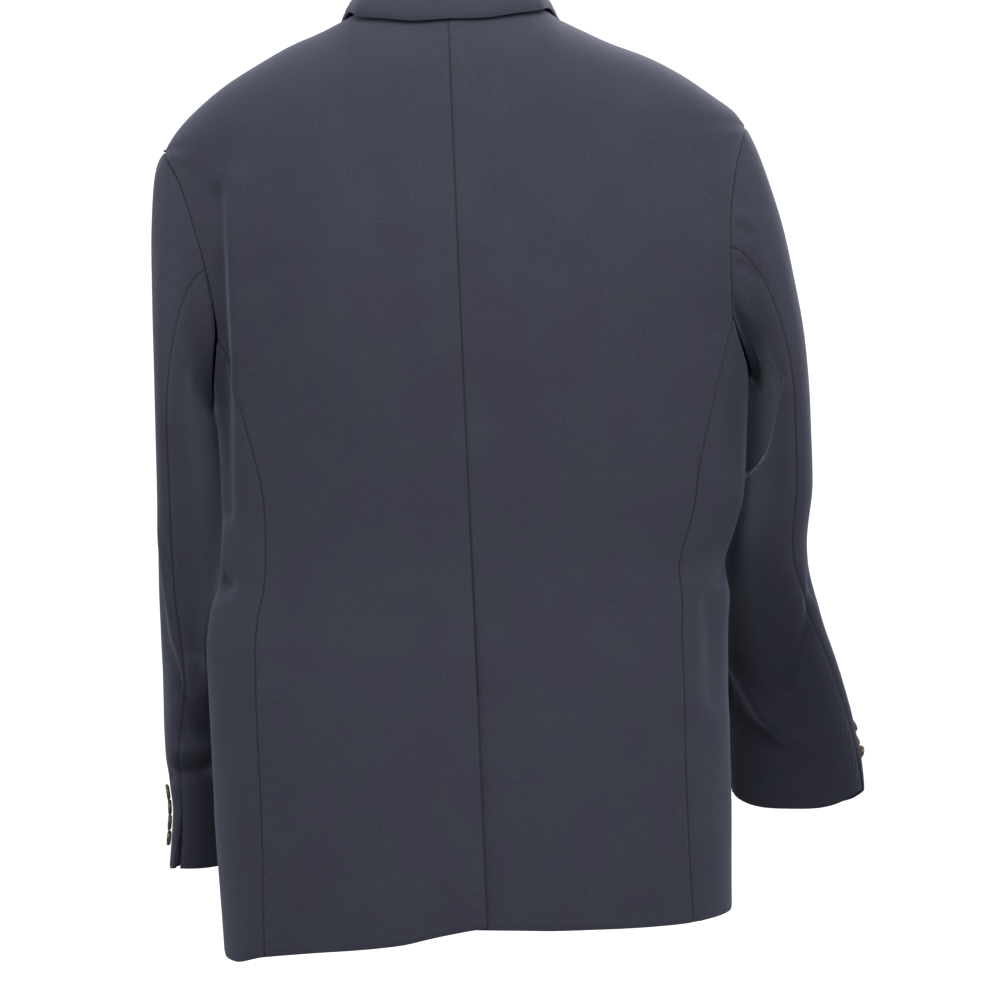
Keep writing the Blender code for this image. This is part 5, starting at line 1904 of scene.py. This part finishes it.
@dataclass(frozen=True)
class Worsted:
    """Fine navy worsted: a close twill with a fleck of lighter fibre, a faint bloom and painted shade along
    its sewn seams.
    """

    base: Triple = (0.0330, 0.0355, 0.0520)
    fleck: Triple = (0.0800, 0.0860, 0.1120)
    shade: Triple = (0.0315, 0.0325, 0.0505)
    rough: float = 0.86
    sheen: float = 0.32
    sheen_rough: float = 0.45
    sheen_tint: Triple = (0.55, 0.60, 0.80)
    twill_pitch: float = 0.00115
    yarn_pitch: float = 0.00055
    fleck_pitch: float = 0.0016
    mottle_pitch: float = 0.045
    seam_painted_shade: Triple = (0.0165, 0.0175, 0.0265)
    painted_shade_width: float = 0.0017
    specular: float = 0.22
    fleck_band: tuple[float, float] = (0.50, 0.74)
    fleck_share: float = 0.42
    mottle_band: tuple[float, float] = (0.35, 0.68)
    fibre_scale: float = 4200.0
    twill_height: float = 0.55
    yarn_height: float = 0.35
    fibre_height: float = 0.5
    fleck_height: float = 0.8
    bump: tuple[float, float] = (0.35, 0.00018)

    def material(self) -> Material:
        """The cloth's material, with its weave laid along each piece's own grain.

        Returns:
            The material.
        """
        made, tree, shader = new_material("navy_worsted", self.base, self.rough)
        shader.inputs["Specular IOR Level"].default_value = self.specular
        shader.inputs["Sheen Weight"].default_value = self.sheen
        shader.inputs["Sheen Roughness"].default_value = self.sheen_rough
        shader.inputs["Sheen Tint"].default_value = (*self.sheen_tint, 1)
        nodes = Wiring(tree)
        grain = nodes.add("ShaderNodeUVMap", uv_map="grain").outputs["UV"]
        place = nodes.add("ShaderNodeTexCoord").outputs["Object"]
        split = nodes.add("ShaderNodeSeparateXYZ", Vector=grain)
        across, down = split.outputs["X"], split.outputs["Y"]
        twill = nodes.wave(nodes.maths("ADD", across, down), self.twill_pitch)
        warp, weft = nodes.wave(across, self.yarn_pitch), nodes.wave(down, self.yarn_pitch)
        yarns = nodes.maths("MULTIPLY", warp, weft)
        flecks = nodes.noise(grain, 1 / self.fleck_pitch, 3.0, 0.62)
        fleck_share = nodes.band(flecks, *self.fleck_band)
        mottle = nodes.band(nodes.noise(place, 1 / self.mottle_pitch, 3.0, 0.55), *self.mottle_band)
        fibres = nodes.noise(grain, self.fibre_scale, 2.0, 0.5)
        ground = nodes.mix(mottle, self.shade, self.base)
        woven = nodes.mix(nodes.maths("MULTIPLY", fleck_share, self.fleck_share), ground, self.fleck)
        # Painted shade: beside each sewn seam the base colour turns darker, standing in for the shadow in the
        # seam's groove.
        from_seam = nodes.add("ShaderNodeAttribute", attribute_name="from_seam").outputs["Fac"]
        unshaded_cloth = nodes.band(from_seam, 0.0, self.painted_shade_width)
        nodes.mix_into(shader.inputs["Base Color"], unshaded_cloth, self.seam_painted_shade, woven)
        height = nodes.maths("MULTIPLY", twill, self.twill_height)
        layers = ((yarns, self.yarn_height), (fibres, self.fibre_height), (flecks, self.fleck_height))
        for layer, share in layers:
            height = nodes.maths("ADD", height, nodes.maths("MULTIPLY", layer, share))
        nodes.bump(shader, height, *self.bump)
        return made


@dataclass(frozen=True)
class Horn:
    """Dark horn with lighter streaks, polished to a satin."""

    base: Triple = (0.075, 0.058, 0.045)
    streak: Triple = (0.230, 0.185, 0.140)
    rough: float = 0.30
    coat: float = 0.25
    coat_rough: float = 0.20
    streak_scale: float = 420.0
    streak_length: float = 0.35
    streak_band: tuple[float, float] = (0.45, 0.70)
    bump: tuple[float, float] = (0.08, 0.00005)

    def material(self) -> Material:
        """The buttons' material.

        Returns:
            The material.
        """
        made, tree, shader = new_material("button_horn_streaked", self.base, self.rough)
        shader.inputs["Coat Weight"].default_value = self.coat
        shader.inputs["Coat Roughness"].default_value = self.coat_rough
        nodes = Wiring(tree)
        place = nodes.add("ShaderNodeTexCoord").outputs["Object"]
        stretched = nodes.add("ShaderNodeMapping", Vector=place)
        stretched.inputs["Scale"].default_value = (1.0, 1.0, self.streak_length)
        streaks = nodes.noise(stretched.outputs["Vector"], self.streak_scale, 4.0, 0.6)
        share = nodes.band(streaks, *self.streak_band)
        nodes.mix_into(shader.inputs["Base Color"], share, self.base, self.streak)
        nodes.bump(shader, streaks, *self.bump)
        return made


@dataclass(frozen=True)
class Thread:
    """Tightly twisted sewing thread or buttonhole silk."""

    name: str = "sewing_thread"
    base: Triple = (0.018, 0.020, 0.034)
    rough: float = 0.55
    sheen: float = 0.2
    twist_pitch: float = 0.0005
    twist_share: float = 0.5
    lighter: float = 2.2
    bump: tuple[float, float] = (0.3, 0.0001)

    def material(self) -> Material:
        """The thread's material, with its twist as bump.

        Returns:
            The material.
        """
        made, tree, shader = new_material(self.name, self.base, self.rough)
        shader.inputs["Sheen Weight"].default_value = self.sheen
        nodes = Wiring(tree)
        place = nodes.add("ShaderNodeTexCoord").outputs["Object"]
        split = nodes.add("ShaderNodeSeparateXYZ", Vector=place)
        slant = nodes.maths("ADD", split.outputs["X"], split.outputs["Z"])
        twist = nodes.wave(slant, self.twist_pitch)
        share = nodes.maths("MULTIPLY", twist, self.twist_share)
        lighter = tuple(self.lighter * value for value in self.base)
        nodes.mix_into(shader.inputs["Base Color"], share, self.base, lighter)
        nodes.bump(shader, twist, *self.bump)
        return made


@dataclass(frozen=True)
class Shadow:
    """Painted shadow: the dark inside of a button's hole."""

    base: Triple = (0.006, 0.005, 0.005)
    rough: float = 0.8
    lighter: float = 1.8
    grain_scale: float = 3000.0

    def material(self) -> Material:
        """Near-black with a little grain, standing in for the shadow inside the holes.

        Returns:
            The material.
        """
        made, tree, shader = new_material("button_hole_painted_shadow", self.base, self.rough)
        nodes = Wiring(tree)
        grain = nodes.noise(nodes.add("ShaderNodeTexCoord").outputs["Object"], self.grain_scale, 2.0, 0.5)
        lighter = tuple(self.lighter * value for value in self.base)
        nodes.mix_into(shader.inputs["Base Color"], grain, self.base, lighter)
        return made


@dataclass(frozen=True)
class Paper:
    """The pale studio floor."""

    base: Triple = (0.22, 0.22, 0.22)
    rough: float = 0.95
    darker: float = 0.985
    grain_scale: float = 60.0

    def material(self) -> Material:
        """Matt paper with a barely visible grain, lit up by a glow that only the camera sees.

        Returns:
            The material.
        """
        made, tree, shader = new_material("pale_floor", self.base, self.rough)
        nodes = Wiring(tree)
        grain = nodes.noise(nodes.add("ShaderNodeTexCoord").outputs["Object"], self.grain_scale, 3.0, 0.5)
        darker = tuple(self.darker * value for value in self.base)
        nodes.mix_into(shader.inputs["Base Color"], grain, self.base, darker)
        shader.inputs["Emission Color"].default_value = (1.0, 1.0, 1.0, 1)
        seen = nodes.add("ShaderNodeLightPath").outputs["Is Camera Ray"]
        tree.links.new(seen, shader.inputs["Emission Strength"])
        return made


def new_material(
    name: str, base: Triple, rough: float
) -> tuple[Material, bpy.types.NodeTree, bpy.types.Node]:
    """A node material with its plain values set.

    Args:
        name: the material's name.
        base: linear base colour.
        rough: roughness.

    Returns:
        The material, its node tree and its Principled shader.
    """
    made = bpy.data.materials.new(name)
    made.use_nodes = True
    shader = made.node_tree.nodes["Principled BSDF"]
    shader.inputs["Base Color"].default_value = (*base, 1)
    shader.inputs["Roughness"].default_value = rough
    made.diffuse_color = (*base, 1)
    return made, made.node_tree, shader


@dataclass
class Wiring:
    """Adds and links the nodes of one material."""

    tree: bpy.types.NodeTree

    def add(self, kind: str, **given: object) -> bpy.types.Node:
        """A node with its inputs linked or set, or else its own properties set.

        Args:
            kind: the node's type.
            given: inputs and properties by name.

        Returns:
            The node.
        """
        node = self.tree.nodes.new(kind)
        for name, value in given.items():
            if name in node.inputs:
                self.feed(node.inputs[name], value)
            else:
                setattr(node, name, value)
        return node

    def feed(self, socket: Socket, value: object) -> None:
        """Links a socket to another, or sets its value.

        Args:
            socket: the input.
            value: an output or a constant.
        """
        if isinstance(value, Socket):
            self.tree.links.new(value, socket)
        else:
            socket.default_value = value

    def maths(self, operation: str, first: object, second: object = 0.0) -> Socket:
        """Result of a Math node.

        Args:
            operation: what the node does.
            first: first value.
            second: second value.

        Returns:
            The node's output.
        """
        node = self.tree.nodes.new("ShaderNodeMath")
        node.operation = operation
        self.feed(node.inputs[0], first)
        self.feed(node.inputs[1], second)
        return node.outputs[0]

    def wave(self, place: Socket, pitch: float) -> Socket:
        """A sine from 0 to 1 that repeats every pitch."""
        swing = self.maths("SINE", self.maths("MULTIPLY", place, 2 * math.pi / pitch))
        return self.maths("ADD", self.maths("MULTIPLY", swing, 0.5), 0.5)

    def noise(self, place: Socket, scale: float, detail: float, rough: float) -> Socket:
        """Value of a Noise texture."""
        node = self.add("ShaderNodeTexNoise", Vector=place, Scale=scale, Detail=detail, Roughness=rough)
        return node.outputs[0]

    def band(self, value: Socket, low: float, high: float) -> Socket:
        """A smooth step of a value between two limits.

        Args:
            value: the value.
            low: where the step starts.
            high: where it ends.

        Returns:
            The step, from 0 to 1.
        """
        node = self.tree.nodes.new("ShaderNodeMapRange")
        node.interpolation_type = "SMOOTHSTEP"
        self.feed(node.inputs["Value"], value)
        node.inputs["From Min"].default_value = low
        node.inputs["From Max"].default_value = high
        return node.outputs["Result"]

    def mix(self, share: object, first: object, second: object) -> Socket:
        """A blend of two colours.

        Args:
            share: share of the second colour.
            first: first colour.
            second: second colour.

        Returns:
            The blended colour.
        """
        node = self.tree.nodes.new("ShaderNodeMix")
        node.data_type = "RGBA"
        self.feed(node.inputs["Factor"], share)
        for socket, value in ((node.inputs[6], first), (node.inputs[7], second)):
            self.feed(socket, (*value, 1) if isinstance(value, tuple) else value)
        return node.outputs[2]

    def mix_into(self, socket: Socket, share: object, first: object, second: object) -> None:
        """Links a blend of two colours to a socket."""
        self.tree.links.new(self.mix(share, first, second), socket)

    def bump(self, shader: bpy.types.Node, height: Socket, strength: float, distance: float) -> None:
        """Raises a shader's surface by a height."""
        node = self.add("ShaderNodeBump", Height=height, Strength=strength, Distance=distance)
        self.tree.links.new(node.outputs["Normal"], shader.inputs["Normal"])


@dataclass
class Studio:
    """Pale floor that curves up all round, soft lights and a camera level with the jacket's middle.

    Each row of `lights` holds a name, a place, the side's length, the power and the tint.
    """

    eye: Triple = (0.026, -2.100, -0.4294)
    lens: float = 85.14
    roll: float = -2.5
    floor_z: float = -1.25
    floor_radius: float = 7.0
    flat_share: float = 0.6
    sweep_share: float = 0.4
    sweep_cells: int = 8
    aim_z: float = -0.40
    surround: float = 0.56
    lights: tuple[tuple[str, tuple[float, ...], float, float, tuple[float, ...]], ...] = (
        ("key", (0.3, -1.3, 0.80), 1.2, 21, (1.0, 0.99, 0.97)),
        ("fill_right", (2.1, -1.1, 0.3), 1.6, 16, (0.97, 0.98, 1.0)),
        ("fill_left", (-2.1, -1.1, 0.3), 1.6, 11, (0.97, 0.98, 1.0)),
        ("camera_side", (-0.6, -2.0, 0.1), 1.0, 11, (1.0, 1.0, 1.0)),
        ("front", (0.8, 2.4, 1.4), 2.0, 60, (1.0, 0.99, 0.98)),
    )

    def camera(self) -> None:
        """The camera of the photograph."""
        data = bpy.data.cameras.new("camera")
        data.lens = self.lens
        data.sensor_width = 36
        made = bpy.data.objects.new("camera", data)
        made.location = self.eye
        made.rotation_mode = "QUATERNION"
        made.rotation_quaternion = (
            Matrix.Rotation(math.radians(90), 3, "X") @ Matrix.Rotation(math.radians(self.roll), 3, "Z")
        ).to_quaternion()
        bpy.context.scene.collection.objects.link(made)
        bpy.context.scene.camera = made

    def floor(self) -> None:
        """A wide disc whose rim sweeps up, so that no horizon shows."""
        shape = bmesh.new()
        sweep = [(0.0, 0.0), (self.floor_radius * self.flat_share, 0.0)]
        for k in range(1, self.sweep_cells + 1):
            a = math.pi / 2 * k / self.sweep_cells
            reach = self.floor_radius * (self.flat_share + self.sweep_share * math.sin(a))
            sweep.append((reach, self.floor_radius * self.sweep_share * (1 - math.cos(a))))
        verts = [shape.verts.new((radius, 0, self.floor_z + height)) for radius, height in sweep]
        edges = [shape.edges.new(pair) for pair in zip(verts, verts[1:])]
        bmesh.ops.spin(
            shape, geom=verts + edges, cent=(0, 0, 0), axis=(0, 0, 1), dvec=(0, 0, 0),
            angle=2 * math.pi, steps=64, use_merge=True, use_duplicate=False,
        )
        bmesh.ops.remove_doubles(shape, verts=shape.verts, dist=1e-5)
        bmesh.ops.recalc_face_normals(shape, faces=shape.faces)
        mesh = bpy.data.meshes.new("studio_floor")
        shape.to_mesh(mesh)
        shape.free()
        mesh.shade_smooth()
        mesh.materials.append(Paper().material())
        made = bpy.data.objects.new("studio_floor", mesh)
        bpy.context.scene.collection.objects.link(made)

    def light(
        self, name: str, place: tuple[float, ...], size: float, power: float, tint: tuple[float, ...]
    ) -> None:
        """A square soft light that faces the middle of the jacket.

        Args:
            name: the light's name.
            place: where it stands.
            size: length of its side.
            power: watts.
            tint: its colour.
        """
        data = bpy.data.lights.new(name, "AREA")
        data.size = size
        data.energy = power
        data.color = tint
        made = bpy.data.objects.new(name, data)
        made.location = place
        aim = Vector((0, 0, self.aim_z)) - Vector(place)
        made.rotation_mode = "QUATERNION"
        made.rotation_quaternion = aim.to_track_quat("-Z", "Y")
        bpy.context.scene.collection.objects.link(made)

    def world(self) -> None:
        """A surround that looks white to the camera and lights the jacket more dimly."""
        made = bpy.data.worlds.new("studio_world")
        made.use_nodes = True
        ground = made.node_tree.nodes["Background"]
        ground.inputs["Color"].default_value = (1.0, 1.0, 1.0, 1)
        nodes = Wiring(made.node_tree)
        seen = nodes.add("ShaderNodeLightPath").outputs["Is Camera Ray"]
        nodes.feed(ground.inputs["Strength"], nodes.maths("ADD", seen, self.surround))
        bpy.context.scene.world = made
        bpy.context.scene.view_settings.view_transform = "Standard"

    def build(self) -> None:
        """Sets up the whole studio."""
        self.camera()
        self.floor()
        self.world()
        for row in self.lights:
            self.light(*row)


@dataclass
class Blazer:
    """The whole jacket in its order of making."""

    torso: TorsoForm = field(default_factory=TorsoForm)

    def cloth_pieces(self) -> list[CutPiece]:
        """Every piece of cloth, before it is made.

        Returns:
            The pieces in their order of making.
        """
        back, sides, fronts = Back(self.torso), SidePanels(self.torso), Fronts(self.torso)
        pieces = []
        for side in Side:
            pieces += [back.half(side), sides.panel(side), fronts.front(side), fronts.lapel(side)]
        for sleeve in (left_sleeve(self.torso), right_sleeve(self.torso)):
            pieces += [sleeve.piece(True), sleeve.piece(False)]
        return pieces + [Collar(self.torso, fronts).piece()]

    def buttons(self, nodes: dict[str, Object]) -> list[HornButton]:
        """One detailed button for each button of the frame, in its place and at its size.

        Args:
            nodes: the frame's nodes by name.

        Returns:
            The buttons, not yet made.
        """
        made = []
        for name, node in nodes.items():
            if "button" not in name:
                continue
            corners = np.array([tuple(node.matrix_world @ vert.co) for vert in node.data.vertices])
            middle = corners.mean(0)
            axis = np.linalg.svd(corners - middle)[2][2]
            heights = (corners - middle) @ axis
            flat = (corners - middle) - heights[:, None] * axis
            if not self.widest_below(heights, np.linalg.norm(flat, axis=1)):
                axis, heights = -axis, -heights
            radius = float(np.linalg.norm(flat, axis=1).max())
            base = Vector(middle + axis * heights.min())
            made.append(HornButton(name, base, Vector(axis), radius, float(np.ptp(heights))))
        return made

    @staticmethod
    def widest_below(heights: Array, reach: Array) -> bool:
        """Whether the button's wider rim, which faces the cloth, is at the low end of the axis."""
        low, high = heights < heights.mean(), heights >= heights.mean()
        return bool(reach[low].max() > reach[high].max())


def main() -> None:
    """Builds the jacket's pieces in order, then the studio."""
    logging.basicConfig(level=logging.INFO, format="%(message)s")
    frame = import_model()
    cloth = Worsted().material()
    horn, dark, thread = Horn().material(), Shadow().material(), Thread().material()
    blazer = Blazer()
    built = {piece.node: piece.build(cloth) for piece in blazer.cloth_pieces()}
    for button in blazer.buttons(frame["nodes"]):
        button.build(horn, dark, thread)
        if button.node.startswith("front"):
            Buttonhole(button).build(built["front_left"], thread)
    Studio().build()


if __name__ == "__main__":
    main()
